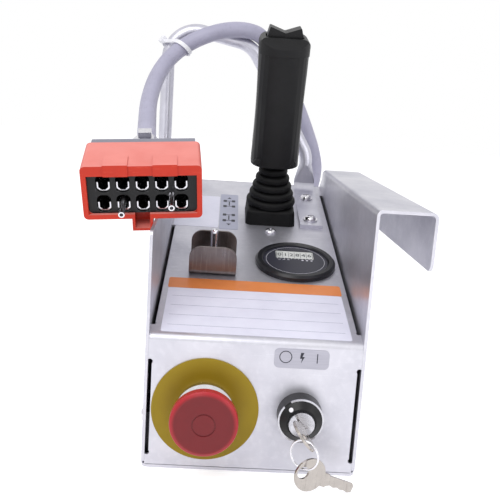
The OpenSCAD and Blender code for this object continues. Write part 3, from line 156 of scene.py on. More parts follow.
def outwards(shape):
    """Merges a closed shape and makes its faces point outwards."""
    bmesh.ops.remove_doubles(shape, verts=shape.verts, dist=WELD_MM)
    bmesh.ops.recalc_face_normals(shape, faces=shape.faces)
    return shape


def spun(shape, outline, steps):
    """Spins an outline once about Z into a closed shape."""
    bmesh.ops.spin(shape, geom=outline, cent=(0, 0, 0), axis=(0, 0, 1),
                   angle=math.radians(360), steps=steps, use_merge=True)
    return outwards(shape)


def turned(profile, steps):
    """A closed solid of revolution about Z from (radius, height) points, pole to pole."""
    shape = bmesh.new()
    rim = [shape.verts.new((r, 0, z)) for r, z in profile]
    return spun(shape, rim + [shape.edges.new(pair) for pair in zip(rim, rim[1:])], steps)


def ring(inner, outer, thick, steps):
    """A flat ring about Z, standing on Z = 0."""
    shape = bmesh.new()
    section = ((inner, 0), (outer, 0), (outer, thick), (inner, thick))
    rim = [shape.verts.new((r, 0, z)) for r, z in section]
    return spun(shape, rim + [shape.edges.new((rim[i - 1], rim[i])) for i in range(4)], steps)


def thickened(shape, thick):
    """Gives a flat outline a thickness along Z."""
    sheet = bmesh.ops.extrude_face_region(shape, geom=shape.faces[:])
    top = [v for v in sheet["geom"] if isinstance(v, bmesh.types.BMVert)]
    bmesh.ops.translate(shape, vec=(0, 0, thick), verts=top)
    return outwards(shape)


def plate(width, height, thick, radius=0.0, corner_steps=5):
    """A flat plate with rounded corners, standing on Z = 0."""
    shape = bmesh.new()
    bmesh.ops.create_grid(shape, x_segments=1, y_segments=1, size=0.5)
    bmesh.ops.scale(shape, vec=(width, height, 1), verts=shape.verts)
    if radius:
        bmesh.ops.bevel(shape, geom=shape.verts[:], offset=radius, segments=corner_steps,
                        affect="VERTICES", profile=0.5, material=-1)
    return thickened(shape, thick)


def cutout(points, thick):
    """A flat outline from its corners, with a thickness."""
    shape = bmesh.new()
    shape.faces.new([shape.verts.new((x, y, 0)) for x, y in points])
    return thickened(shape, thick)


def figures(text, height, thick):
    """A centred line of figures with a small thickness."""
    line = bpy.data.curves.new("figures", "FONT")
    line.body = text
    line.size = height * 1.4
    line.align_x = "CENTER"
    line.align_y = "CENTER"
    line.extrude = thick / 2
    line.resolution_u = 3
    holder = bpy.data.objects.new("figures", line)
    scene.collection.objects.link(holder)
    ready = holder.evaluated_get(bpy.context.evaluated_depsgraph_get())
    shape = bmesh.new()
    shape.from_mesh(ready.to_mesh())
    ready.to_mesh_clear()
    bpy.data.objects.remove(holder)
    bpy.data.curves.remove(line)
    return outwards(moved(shape, z=thick / 2))


def joined(*shapes):
    """One bmesh with the faces of several."""
    whole = bmesh.new()
    for shape in shapes:
        part = bpy.data.meshes.new("part")
        shape.to_mesh(part)
        shape.free()
        whole.from_mesh(part)
        bpy.data.meshes.remove(part)
    return whole


def moved(shape, x=0.0, y=0.0, z=0.0):
    """The same shape in another place."""
    bmesh.ops.translate(shape, vec=(x, y, z), verts=shape.verts)
    return shape


print("shape starters ready")

# %% [markdown]
# ## Helpers for node trees
# Every shader is wired by a few short functions: one adds a node with its values and links,
# one lays a noise out in the object's own coordinates, and the others multiply two values,
# stretch one, and find what faces up or what a ray is looking for.

# %% Wiring helpers
def add(tree, kind, links=(), **settings):
    """Adds a node, sets its values by socket name or attribute, and links sockets to it."""
    node = tree.nodes.new(kind)
    for key, value in settings.items():
        if hasattr(node, key):
            setattr(node, key, value)
        else:
            node.inputs[key.replace("_", " ")].default_value = value
    for socket, target in links:
        tree.links.new(socket, node.inputs[target])
    return node


def operate(tree, operation, first, second):
    """One number from two sockets."""
    return add(tree, "ShaderNodeMath", [(first, 0), (second, 1)], operation=operation).outputs[0]


def stretched(tree, value, links=(), **settings):
    """A value brought from one range to another."""
    spread = add(tree, "ShaderNodeMapRange", [(value, "Value"), *links], **settings)
    return spread.outputs["Result"]


def between(source, low, high):
    """Links that let two inputs of a group say which range is stretched."""
    return [(source.outputs[low], "From Min"), (source.outputs[high], "From Max")]


def in_object(tree):
    """The object's own coordinates."""
    return add(tree, "ShaderNodeTexCoord").outputs["Object"]


def noise(tree, links=(), **settings):
    """A noise laid out in the object's own coordinates."""
    links = [(in_object(tree), "Vector"), *links]
    return add(tree, "ShaderNodeTexNoise", links, **settings).outputs["Fac"]


def facing_up(tree, low, high, **settings):
    """1 for what faces up, 0 for what stands upright."""
    normal = add(tree, "ShaderNodeNewGeometry")
    split = add(tree, "ShaderNodeSeparateXYZ", [(normal.outputs["Normal"], 0)])
    return stretched(tree, split.outputs["Z"], From_Min=low, From_Max=high, **settings)


def sees_background(tree):
    """1 for rays that should meet plain white: from the camera, mirrored or through glass."""
    ray = add(tree, "ShaderNodeLightPath").outputs
    direct = operate(tree, "MAXIMUM", ray["Is Camera Ray"], ray["Is Glossy Ray"])
    return operate(tree, "MAXIMUM", direct, ray["Is Transmission Ray"])


print("wiring helpers ready")

# %% [markdown]
# ## Effects that several finishes share
# Real surfaces are never one flat colour. Six small node groups give the variation: a soft
# mottle, fine scratches drawn out along one direction, dust on what faces up, a painted sheen
# on what faces up, the grain of moulded plastic, and a mask by the distance from an axis of the
# front, which lays painted light and shade on the stop button. Each is built once and placed with
# its own values.

# %% Node groups
def shared_effect(name, build, output="Mask", **inputs):
    """A shader node group with float inputs, filled by build(tree, group_input)."""
    tree = bpy.data.node_groups.new(name, "ShaderNodeTree")
    for label, value in inputs.items():
        socket = tree.interface.new_socket(label.replace("_", " "), in_out="INPUT",
                                           socket_type="NodeSocketFloat")
        socket.default_value = value
    tree.interface.new_socket(output, in_out="OUTPUT", socket_type="NodeSocketFloat")
    source = tree.nodes.new("NodeGroupInput")
    sink = tree.nodes.new("NodeGroupOutput")
    tree.links.new(build(tree, source), sink.inputs[0])
    return tree


def build_mottle(tree, source):
    clouds = noise(tree, [(source.outputs["Scale"], "Scale")], Detail=6.0, Roughness=0.6)
    return stretched(tree, clouds, between(source, "Low", "High"))


def build_scratches(tree, source):
    across = [(source.outputs["Across " + axis], axis) for axis in "XYZ"]
    long_way = add(tree, "ShaderNodeCombineXYZ", across)
    drawn = add(tree, "ShaderNodeVectorMath", [(in_object(tree), 0), (long_way.outputs[0], 1)],
                operation="MULTIPLY")
    lines = add(tree, "ShaderNodeTexNoise", [(drawn.outputs[0], "Vector")], Scale=1.0,
                Detail=3.0, Roughness=0.55)
    return stretched(tree, lines.outputs["Fac"], between(source, "Low", "High"))


def build_dust(tree, source):
    specks = noise(tree, Scale=140.0, Detail=8.0, Roughness=0.7)
    specks = stretched(tree, specks, From_Min=0.45, From_Max=0.8)
    lying = operate(tree, "MULTIPLY", specks, facing_up(tree, 0.3, 1.0))
    return operate(tree, "MULTIPLY", lying, source.outputs["Amount"])


# Painted sheen: a pale tint on what faces up, standing for the light that the tops mirror.
def build_top_sheen_painted(tree, source):
    patches = noise(tree, Scale=55.0, Detail=5.0)
    patches = stretched(tree, patches, From_Min=0.2, From_Max=0.6, To_Min=0.75)
    up = facing_up(tree, 0.35, 0.9, interpolation_type="SMOOTHSTEP")
    lying = operate(tree, "MULTIPLY", patches, up)
    return operate(tree, "MULTIPLY", lying, source.outputs["Amount"])


def build_grain(tree, source):
    size = (source.outputs["Scale"], "Scale")
    fine = noise(tree, [size], Detail=2.0, Roughness=0.5)
    cells = add(tree, "ShaderNodeTexVoronoi", [(in_object(tree), "Vector"), size])
    return operate(tree, "MULTIPLY", fine, cells.outputs["Distance"])


def build_from_axis(tree, source):
    centre = add(tree, "ShaderNodeCombineXYZ", [(source.outputs["Centre X"], "X"),
                                                (source.outputs["Centre Z"], "Z")])
    offset = add(tree, "ShaderNodeVectorMath", [(in_object(tree), 0), (centre.outputs[0], 1)],
                 operation="SUBTRACT")
    flat = add(tree, "ShaderNodeVectorMath", [(offset.outputs[0], 0)], operation="MULTIPLY")
    flat.inputs[1].default_value = (1, 0, 1)
    far = add(tree, "ShaderNodeVectorMath", [(flat.outputs[0], 0)], operation="LENGTH")
    return stretched(tree, far.outputs["Value"], between(source, "Near", "Far"),
                     interpolation_type="SMOOTHSTEP")


from_axis = shared_effect("from_front_axis", build_from_axis, Centre_X=0.0, Centre_Z=0.0,
                          Near=0.0, Far=0.02)
mottle = shared_effect("mottle", build_mottle, Scale=30.0, Low=0.3, High=0.7)
scratches = shared_effect("scratches", build_scratches, Across_X=900.0, Across_Y=30.0,
                          Across_Z=30.0, Low=0.5, High=0.8)
dust = shared_effect("dust", build_dust, Amount=0.5)
top_sheen_painted = shared_effect("top_painted_sheen", build_top_sheen_painted, Amount=1.0)
grain = shared_effect("moulded_grain", build_grain, "Height", Scale=2500.0)
print("shared effects:", [g.name for g in (mottle, scratches, dust, top_sheen_painted, grain, from_axis)])

# %% [markdown]
# ## One recipe for a finish
# A finish starts from a Principled shader whose plain values sit on its own sockets. Tints
# are then laid over its colour through masks, and the masks also move its roughness and its
# bump. Each finish of the box is a few calls of this recipe.


# %% The recipe
class Finish:
    """A material that starts from plain values and takes tints, polish and relief."""

    def __init__(self, name, colour, roughness, metallic=0.0, **plain):
        self.material = bpy.data.materials.new(name)
        self.material.use_nodes = True
        self.tree = self.material.node_tree
        self.shader = self.tree.nodes["Principled BSDF"]
        self.colour = None
        self.start = (*colour, 1.0)
        self.height = None
        self.shader.inputs["Base Color"].default_value = self.start
        self.shader.inputs["Roughness"].default_value = roughness
        self.shader.inputs["Metallic"].default_value = metallic
        for key, value in plain.items():
            self.shader.inputs[key.replace("_", " ")].default_value = value

    def mask(self, effect, **values):
        """Places a shared effect with its own values and gives its output."""
        node = self.tree.nodes.new("ShaderNodeGroup")
        node.node_tree = effect
        for key, value in values.items():
            node.inputs[key.replace("_", " ")].default_value = value
        return node.outputs[0]

    def tint(self, mask, colour, most=1.0):
        """Lays a colour over the last one where the mask is high."""
        scaled = add(self.tree, "ShaderNodeMath", [(mask, 0)], operation="MULTIPLY",
                     use_clamp=True)
        scaled.inputs[1].default_value = most
        mix = add(self.tree, "ShaderNodeMix", data_type="RGBA")
        self.tree.links.new(scaled.outputs[0], mix.inputs["Factor"])
        if self.colour is None:
            mix.inputs[6].default_value = self.start
        else:
            self.tree.links.new(self.colour, mix.inputs[6])
        mix.inputs[7].default_value = (*colour, 1.0)
        self.colour = mix.outputs[2]
        self.tree.links.new(self.colour, self.shader.inputs["Base Color"])

    def polish(self, mask, low, high):
        """Lets the roughness run from low to high with the mask."""
        spread = stretched(self.tree, mask, To_Min=low, To_Max=high)
        self.tree.links.new(spread, self.shader.inputs["Roughness"])

    def relief(self, height, strength, distance=0.0002):
        """Adds bump on top of any bump that is already there."""
        bump = add(self.tree, "ShaderNodeBump", [(height, "Height")], Strength=strength,
                   Distance=distance)
        if self.height is not None:
            self.tree.links.new(self.height, bump.inputs["Normal"])
        self.height = bump.outputs["Normal"]
        self.tree.links.new(self.height, self.shader.inputs["Normal"])


def srgb(r, g, b):
    """A colour as picked on a screen, 0 to 255, made linear for the shader."""
    return tuple(c / 255 / 12.92 if c <= 10 else ((c / 255 + 0.055) / 1.055) ** 2.4
                 for c in (r, g, b))


print("a screen grey of 128 is", round(srgb(128, 128, 128)[0], 3), "in light")


# %% [markdown]
# ## Metals
# The housing is zinc-plated sheet: pale, a little lilac, with the soft cloudiness that the
# bath leaves and faint scratches from handling. The small metal parts are brighter. The
# fully metallic shader alone would mirror the room, so roughness follows the cloudiness.

# %% Metal finishes
sheet_metal = Finish("zinc_plated_sheet", srgb(206, 205, 213), 0.42, 0.85)
clouds = sheet_metal.mask(mottle, Scale=26.0, Low=0.35, High=0.68)
sheet_metal.tint(clouds, srgb(188, 188, 198), 0.7)
spots = sheet_metal.mask(mottle, Scale=230.0, Low=0.5, High=0.8)
sheet_metal.tint(spots, srgb(222, 221, 228), 0.45)
rubs = sheet_metal.mask(scratches, Across_X=35.0, Across_Y=30.0, Across_Z=1400.0, Low=0.62,
                        High=0.78)
sheet_metal.tint(rubs, srgb(232, 232, 238), 0.35)
sheet_metal.polish(clouds, 0.34, 0.5)
sheet_metal.relief(rubs, 0.08, 0.0001)

bar_metal = Finish("plated_bar", srgb(205, 204, 214), 0.36, 0.8)
bar_metal.tint(bar_metal.mask(mottle, Scale=60.0, Low=0.35, High=0.7), srgb(180, 180, 192), 0.6)
handled = bar_metal.mask(scratches, Across_X=500.0, Across_Y=500.0, Across_Z=20.0, Low=0.6,
                         High=0.8)
bar_metal.tint(handled, srgb(230, 230, 236), 0.4)
bar_metal.polish(bar_metal.mask(mottle, Scale=90.0), 0.28, 0.44)

bright_metal = Finish("bright_plating", srgb(222, 221, 226), 0.18, 1.0)
bright_spots = bright_metal.mask(mottle, Scale=300.0, Low=0.4, High=0.8)
bright_metal.tint(bright_spots, srgb(190, 188, 192), 0.5)
bright_metal.polish(bright_metal.mask(mottle, Scale=500.0), 0.12, 0.28)

lock_metal = Finish("satin_nickel", srgb(196, 196, 202), 0.28, 1.0)
turning = lock_metal.mask(scratches, Across_X=260.0, Across_Y=40.0, Across_Z=260.0, Low=0.4,
                          High=0.7)
lock_metal.tint(turning, srgb(168, 168, 176), 0.35)
lock_metal.polish(turning, 0.2, 0.36)

key_metal = Finish("nickel_silver", srgb(176, 170, 165), 0.28, 1.0)
wear = key_metal.mask(scratches, Across_X=700.0, Across_Y=700.0, Across_Z=60.0, Low=0.55, High=0.75)
key_metal.tint(wear, srgb(140, 134, 128), 0.5)
key_spots = key_metal.mask(mottle, Scale=200.0, Low=0.5, High=0.75)
key_metal.tint(key_spots, srgb(196, 190, 184), 0.5)
key_metal.polish(wear, 0.18, 0.4)

dark_steel = Finish("stamped_steel", srgb(128, 120, 118), 0.34, 0.95)
dark_steel.tint(dark_steel.mask(mottle, Scale=70.0, Low=0.35, High=0.7), srgb(96, 88, 86), 0.6)
rolled = dark_steel.mask(scratches, Across_X=900.0, Across_Y=40.0, Across_Z=40.0, Low=0.55,
                         High=0.75)
dark_steel.tint(rolled, srgb(168, 162, 160), 0.4)
dark_steel.polish(dark_steel.mask(mottle, Scale=120.0), 0.26, 0.42)

# Painted shade: the corner brackets are near black, standing for the shadow in the slots where they
# sit.
shadow_painted_steel = Finish("bracket_in_painted_shade", srgb(40, 40, 44), 0.5, 0.6)
shadow_painted_steel.tint(shadow_painted_steel.mask(mottle, Scale=90.0, Low=0.4, High=0.7), srgb(24, 24, 28), 0.7)

legend_metal = Finish("anodised_legend", srgb(178, 177, 188), 0.4, 0.5)
brushed = legend_metal.mask(scratches, Across_X=60.0, Across_Y=60.0, Across_Z=1800.0, Low=0.4,
                            High=0.7)
legend_metal.tint(brushed, srgb(158, 157, 170), 0.5)
print("metals:", [m.name for m in bpy.data.materials][-8:])

# %% [markdown]
# ## Plastics, rubber and paint
# Moulded plastic shows a fine grain and a slight sheen. The red head is glossier than the
# rest and its rim carries a painted highlight, the yellow disc is printed sheet with painted shade
# close around the head, the orange plug has a painted sheen on its top, and the rubber boot is
# the dullest black on the box.

# %% Plastic finishes
stop_red = Finish("stop_head_red", srgb(112, 14, 22), 0.36, Coat_Weight=0.15,
                  Coat_Roughness=0.25, Specular_IOR_Level=0.35)
stop_red.tint(stop_red.mask(mottle, Scale=120.0, Low=0.45, High=0.8), srgb(98, 12, 19), 0.5)
# Painted highlight: the rim of the red head is painted lighter, where light from above catches it.
rim_painted_highlight = stop_red.mask(from_axis, Centre_X=-0.03, Centre_Z=0.0415, Near=0.0175, Far=0.0206)
stop_red.tint(rim_painted_highlight, srgb(190, 34, 46), 0.75)
stop_red.relief(stop_red.mask(grain, Scale=1600.0), 0.06)

stop_yellow = Finish("stop_disc_yellow", srgb(152, 128, 12), 0.42, Specular_IOR_Level=0.35)
stop_yellow.tint(stop_yellow.mask(mottle, Scale=80.0, Low=0.4, High=0.8), srgb(138, 114, 8), 0.5)
# Painted shade: the disc is painted darker close around the red head, standing for the head's
# shadow.
shade = stop_yellow.mask(from_axis, Centre_X=-0.03, Centre_Z=0.047, Near=0.031, Far=0.018)
stop_yellow.tint(shade, srgb(116, 90, 6), 0.6)
stop_yellow.relief(stop_yellow.mask(grain, Scale=3000.0), 0.03)

black_plastic = Finish("moulded_black", srgb(14, 14, 16), 0.36, Specular_IOR_Level=0.3)
black_plastic.tint(black_plastic.mask(mottle, Scale=150.0, Low=0.4, High=0.8),
                   srgb(22, 22, 25), 0.6)
black_plastic.tint(black_plastic.mask(dust, Amount=0.2), srgb(90, 88, 88), 0.4)
black_plastic.relief(black_plastic.mask(grain, Scale=2600.0), 0.12)

grip_plastic = Finish("grip_black", srgb(11, 11, 13), 0.44, Specular_IOR_Level=0.25)
grip_plastic.tint(grip_plastic.mask(mottle, Scale=90.0, Low=0.4, High=0.75), srgb(19, 19, 22), 0.7)
grip_plastic.tint(grip_plastic.mask(dust, Amount=0.2), srgb(80, 78, 78), 0.35)
grip_plastic.relief(grip_plastic.mask(grain, Scale=1900.0), 0.25)

boot_rubber = Finish("boot_rubber", srgb(9, 9, 10), 0.6, Specular_IOR_Level=0.2)
boot_rubber.tint(boot_rubber.mask(mottle, Scale=110.0, Low=0.4, High=0.75), srgb(16, 16, 18), 0.7)
boot_rubber.tint(boot_rubber.mask(dust, Amount=0.25), srgb(84, 82, 82), 0.35)
boot_rubber.relief(boot_rubber.mask(grain, Scale=1400.0), 0.2)

meter_plastic = Finish("meter_bezel_grey", srgb(46, 46, 58), 0.4, Specular_IOR_Level=0.3)
meter_plastic.tint(meter_plastic.mask(mottle, Scale=140.0, Low=0.4, High=0.8),
                   srgb(38, 38, 48), 0.6)
meter_plastic.tint(meter_plastic.mask(dust, Amount=0.25), srgb(96, 96, 106), 0.3)
meter_plastic.relief(meter_plastic.mask(grain, Scale=2600.0), 0.08)

meter_black = Finish("meter_case_black", srgb(20, 20, 25), 0.34, Specular_IOR_Level=0.35)
meter_black.tint(meter_black.mask(mottle, Scale=160.0, Low=0.4, High=0.8), srgb(30, 30, 37), 0.5)
meter_black.relief(meter_black.mask(grain, Scale=2600.0), 0.08)

cable_jacket = Finish("cable_grey", srgb(172, 170, 190), 0.5)
cable_jacket.tint(cable_jacket.mask(mottle, Scale=45.0, Low=0.35, High=0.75),
                  srgb(156, 154, 174), 0.6)
cable_jacket.tint(cable_jacket.mask(mottle, Scale=300.0, Low=0.55, High=0.8),
                  srgb(140, 138, 156), 0.5)
cable_jacket.relief(cable_jacket.mask(mottle, Scale=900.0), 0.05)

tie_plastic = Finish("tie_white", srgb(238, 238, 242), 0.4)
tie_plastic.tint(tie_plastic.mask(mottle, Scale=200.0), srgb(222, 222, 228), 0.5)

plug_plastic = Finish("plug_orange", srgb(200, 46, 18), 0.4, Specular_IOR_Level=0.4)
plug_plastic.tint(plug_plastic.mask(mottle, Scale=60.0, Low=0.35, High=0.75), srgb(184, 38, 14), 0.6)
# Painted highlight: the pale pink on the plug's top stands for the sheen of light from above.
plug_plastic.tint(plug_plastic.mask(top_sheen_painted, Amount=1.0), srgb(238, 150, 140), 0.72)
knocks = plug_plastic.mask(scratches, Across_X=60.0, Across_Y=1200.0, Across_Z=1200.0, Low=0.62,
                           High=0.8)
plug_plastic.tint(knocks, srgb(242, 130, 100), 0.4)
plug_plastic.relief(plug_plastic.mask(grain, Scale=2200.0), 0.1)

hood_plastic = Finish("hood_grey", srgb(128, 128, 140), 0.42)
hood_plastic.tint(hood_plastic.mask(mottle, Scale=70.0), srgb(108, 108, 122), 0.6)
hood_plastic.relief(hood_plastic.mask(grain, Scale=2000.0), 0.12)

window_plastic = Finish("window_pale", srgb(206, 208, 204), 0.12, Coat_Weight=0.6,
                        Coat_Roughness=0.05)
window_plastic.tint(window_plastic.mask(mottle, Scale=160.0), srgb(190, 194, 190), 0.5)
print("materials so far:", len(bpy.data.materials))

# %% [markdown]
# ## Labels, inks and the parts inside
# Printed labels are smooth and a little lilac, with faint rubs. The inks are never quite
# black or white. The board and its standoffs show only when a sheet is taken off.

# %% Label, ink and board finishes
label_white = Finish("label_white", srgb(226, 226, 240), 0.38)
label_white.tint(label_white.mask(mottle, Scale=60.0, Low=0.4, High=0.75), srgb(212, 212, 228), 0.6)
rubbed = label_white.mask(scratches, Across_X=40.0, Across_Y=900.0, Across_Z=900.0, Low=0.66,
                          High=0.8)
label_white.tint(rubbed, srgb(190, 190, 208), 0.35)

label_orange = Finish("label_orange", srgb(226, 136, 72), 0.4)
label_orange.tint(label_orange.mask(mottle, Scale=70.0, Low=0.4, High=0.75),
                  srgb(214, 122, 58), 0.6)

print_ink = Finish("print_ink", srgb(34, 34, 46), 0.5)
print_ink.tint(print_ink.mask(mottle, Scale=500.0, Low=0.5, High=0.8), srgb(58, 58, 74), 0.5)

print_pale = Finish("print_pale", srgb(214, 214, 222), 0.5)
print_pale.tint(print_pale.mask(mottle, Scale=500.0, Low=0.5, High=0.8), srgb(190, 190, 200), 0.5)

symbol_grey = Finish("symbol_grey", srgb(168, 170, 188), 0.42)
symbol_grey.tint(symbol_grey.mask(mottle, Scale=120.0, Low=0.4, High=0.75),
                 srgb(154, 156, 176), 0.5)

board_green = Finish("board_green", srgb(30, 110, 60), 0.35)
board_green.tint(board_green.mask(mottle, Scale=320.0, Low=0.5, High=0.7), srgb(20, 84, 46), 0.8)

brass = Finish("turned_brass", srgb(214, 184, 112), 0.3, 1.0)
brass.tint(brass.mask(mottle, Scale=220.0), srgb(186, 152, 84), 0.5)
print("finishes:", len(bpy.data.materials))

# %% [markdown]
# ## Dressing the solids
# Most solids already have the right shape and only need their finish. The finish goes into
# the material slots of the loaded object, whose mesh stays as it came.

# %% A finish for every solid
FINISHES = {
    sheet_metal: ["base_plate", "control_panel", "left_side_plate", "right_side_plate",
                  "rear_plate"],
    shadow_painted_steel: ["corner_brackets"],
    dark_steel: ["stick_base", "toggle_guard"],
    bright_metal: ["side_screws", "base_screws", "stop_collar", "stop_nut", "toggle_bushing",
                   "toggle_nut", "toggle_lever", "panel_screws", "hoop_screws", "hoop_washers",
                   "stick_shaft", "key_ring", "plug_contacts", "plug_pins", "plug_clamp"],
    stop_yellow: ["stop_disc"],
    stop_red: ["stop_stem", "stop_cap"],
    black_plastic: ["stop_contact_block", "key_bezel", "key_contact_block", "toggle_body",
                    "cable_gland", "gland_nut", "plug_insert", "board_parts", "meter_clamp",
                    "grip_screws"],
    lock_metal: ["key_rim", "lock_cylinder"],
    key_metal: ["key", "spare_key"],
    legend_metal: ["legend_plate"],
    meter_plastic: ["meter_face"],
    meter_black: ["meter_bezel", "meter_case"],
    window_plastic: ["meter_window"],
    boot_rubber: ["boot"],
    grip_plastic: ["grip_body", "grip_cap", "rocker", "trigger"],
    bar_metal: ["guard_hoop"],
    cable_jacket: ["cable"],
    tie_plastic: ["zip_tie"],
    plug_plastic: ["plug_housing"],
    hood_plastic: ["plug_hood"],
    board_green: ["control_board"],
    brass: ["standoffs"],
}
for finish, names in FINISHES.items():
    for name in names:
        for place in nodes[name].material_slots:
            place.material = finish.material
print("dressed", sum(len(names) for names in FINISHES.values()), "solids")

# %% [markdown]
# ## Softened edges
# No moulded or pressed part has a knife edge. The solids of the CAD model do, so the pieces
# whose edges show get a merged copy with a Bevel modifier on every sharp edge. The bevel only
# cuts inwards, so no piece grows, and its narrow faces catch the light as real edges do.

# %% Softened copies
BODIES = frame["record"]["behaviour"]["bodies"]
HOME = {name: body for body, names in BODIES.items() for name in names}
SHARP_ANGLE = 32
FLAT_ANGLE = math.radians(0.5)
SOFTENED = (
    ("plug_housing", "plug_orange", plug_plastic, 0.6),
    ("plug_hood", "plug_grey", hood_plastic, 0.6),
    ("grip_body", "grip_plastic", grip_plastic, 1.2),
    ("grip_cap", "grip_plastic", grip_plastic, 1.2),
    ("rocker", "grip_plastic", grip_plastic, 0.8),
    ("toggle_guard", "guard_metal", dark_steel, 0.3),
    ("control_panel", "housing_metal", sheet_metal, 0.3),
    ("left_side_plate", "housing_metal", sheet_metal, 0.3),
    ("right_side_plate", "housing_metal", sheet_metal, 0.3),
    ("key", "key_metal", key_metal, 0.2),
    ("spare_key", "key_metal", key_metal, 0.2),
    ("plug_clamp", "zinc", bright_metal, 0.3),
)


def softened(node, slot, finish, width):
    """A merged copy of a solid with its sharp edges rounded, in place of that solid."""
    shape = bmesh.new()
    shape.from_mesh(nodes[node].data)
    bmesh.ops.remove_doubles(shape, verts=shape.verts, dist=2 * WELD)
    bmesh.ops.dissolve_limit(shape, angle_limit=FLAT_ANGLE, verts=shape.verts[:],
                             edges=shape.edges[:])
    made = piece(shape, node + "_softened", HOME[node], finish.material,
                 smooth=SHARP_ANGLE, stands_for=(node,))
    edge = made.modifiers.new("softened_edges", "BEVEL")
    edge.width = width * MM
    edge.segments = 2
    edge.limit_method = "ANGLE"
    edge.angle_limit = math.radians(SHARP_ANGLE)
    edge.use_clamp_overlap = True
    edge.harden_normals = True
    return made


soft = {row[0]: softened(*row) for row in SOFTENED}
print("softened", len(soft), "pieces")

# %% [markdown]
# ## The cable
# A 14 mm jacketed cable leaves its gland at the rear, climbs behind the guard hoop, passes
# over it and comes forward to the plug. The solid of the CAD model has flat sides, so a
# smooth curve with a round section takes its place, along the same route.

# %% Cable
CABLE_DIAMETER = 0.014
WITHIN_SOLID = 0.0001
END_LENGTH = 24
GLAND_MOUTH = Vector((50, 162, 112))
HOOD_MOUTH = Vector((0, 71, 19))
plug_frame = on_plug()
plug_mouth = plug_frame @ HOOD_MOUTH / MM
plug_back = (plug_frame.to_3x3() @ Vector((0, 1, 0))) / MM
CABLE_ROUTE = [
    (54, 182, 117), (64, 196, 140), (69, 200, 165), (66, 198, 184), (56, 190, 208),
    (42, 176, 235), (25, 154, 262), (10, 134, 283), (-2, 120, 294), (-17, 108.5, 296.5),
    (-35, 103, 294), (-54, 101, 287), (-70, 98, 277), (-82, 87, 264), (-89, 65, 247.5),
    (-90.5, 31, 229), (-87.5, -5, 213),
]


def spline_point(a, b, c, d, t):
    """A point between b and c on the smooth curve through a, b, c and d."""
    square = (2 * a - 5 * b + 4 * c - d) * t * t
    cube = (3 * b - a - 3 * c + d) * t ** 3
    return (2 * b + (c - a) * t + square + cube) / 2


def smooth_route(points, steps):
    """The same line as the CAD model's cable: straight short ends, smooth between."""
    line = []
    for i in range(1, len(points) - 2):
        inner = 1 < i < len(points) - 3
        for k in range(steps if inner else 1):
            line.append(spline_point(*points[i - 1:i + 3], k / steps))
    return line + [points[-2]]


half = CABLE_DIAMETER / 2 / MM
back = Vector((0, 1, 0))
stations = [GLAND_MOUTH - back * END_LENGTH, GLAND_MOUTH, GLAND_MOUTH + back * half]
stations += [Vector(p) for p in CABLE_ROUTE]
stations += [plug_mouth + plug_back * half, plug_mouth, plug_mouth - plug_back * END_LENGTH]
cable_line = [p * MM for p in smooth_route(stations, 8)]
cable_curve = bpy.data.curves.new("cable_jacket", "CURVE")
cable_curve.dimensions = "3D"
cable_curve.bevel_depth = CABLE_DIAMETER / 2 - WITHIN_SOLID
cable_curve.bevel_resolution = 6
cable_curve.use_fill_caps = True
run = cable_curve.splines.new("POLY")
run.points.add(len(cable_line) - 1)
for point, place in zip(run.points, cable_line):
    point.co = (*place, 1.0)
    point.radius = 1.0
run.use_smooth = True
cable_piece = bpy.data.objects.new("cable_jacket", cable_curve)
scene.collection.objects.link(cable_piece)
cable_curve.materials.append(cable_jacket.material)
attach(cable_piece, "housing")
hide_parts("cable")

# %% [markdown]
# ## The rubber boot
# A moulded boot keeps water out of the joystick. Its square foot is trapped on the panel and
# its bellows narrow towards the grip. The bellows are one profile of rounded ribs, spun about
# the shaft, and the foot is a rounded block drawn in at the top.

# %% Boot
STICK_X, STICK_U = 14.5, 200
FOOT_WIDTH, FOOT_TOP_WIDTH, FOOT_HEIGHT = 42.0, 40.0, 12.5
FOOT_CORNER, FOOT_ROUNDING = 5, 2.2
BOOT_HEIGHT, BOOT_WIDE, BOOT_NARROW = 46.0, 22.0, 11.2
RIBS, RIB_DEPTH, RIB_STEPS, LEAST_SWELL = 5, 3.0, 12, 0.1
rise = (BOOT_HEIGHT - FOOT_HEIGHT) / RIBS
bellows = [(0, FOOT_HEIGHT - 2), (BOOT_WIDE - RIB_DEPTH, FOOT_HEIGHT - 2)]
for rib in range(RIBS):
    low = FOOT_HEIGHT + rise * rib
    middle = BOOT_WIDE + (BOOT_NARROW - BOOT_WIDE) * (rib + 0.5) / RIBS
    for k in range(RIB_STEPS + 1):
        swell = max(LEAST_SWELL, math.sin(math.pi * k / RIB_STEPS) ** 0.8)
        up = 0.5 - math.cos(math.pi * k / RIB_STEPS) / 2
        bellows.append((middle - RIB_DEPTH + RIB_DEPTH * swell, low + rise * up))
bellows.append((0, BOOT_HEIGHT))
foot = plate(FOOT_WIDTH, FOOT_WIDTH, FOOT_HEIGHT, FOOT_CORNER, 8)
top = [v for v in foot.verts if v.co.z > FOOT_HEIGHT / 2]
drawn_in = FOOT_TOP_WIDTH / FOOT_WIDTH
bmesh.ops.scale(foot, vec=(drawn_in, drawn_in, 1), verts=top)
rim = [e for e in foot.edges if all(v.co.z > FOOT_HEIGHT - 0.01 for v in e.verts)]
bmesh.ops.bevel(foot, geom=rim, offset=FOOT_ROUNDING, segments=4, affect="EDGES", profile=0.5,
                material=-1)
boot_shape = joined(turned(bellows, 96), foot)
boot_place = on_panel(STICK_X, STICK_U)
boot_shape.transform(boot_place)
boot = as_object(boot_shape, "boot_bellows", boot_rubber.material, 50)
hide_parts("boot")
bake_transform(boot)
print("boot faces", len(boot.data.polygons))

# %% [markdown]
# ## Labels on the panel
# Three printed labels lie on the panel. The large one has an orange band above a white field
# with four thin rules, and all three are clean and blank. A thin plate with rounded corners,
# lifted a hair off the sheet, gives each its own edge and gloss.

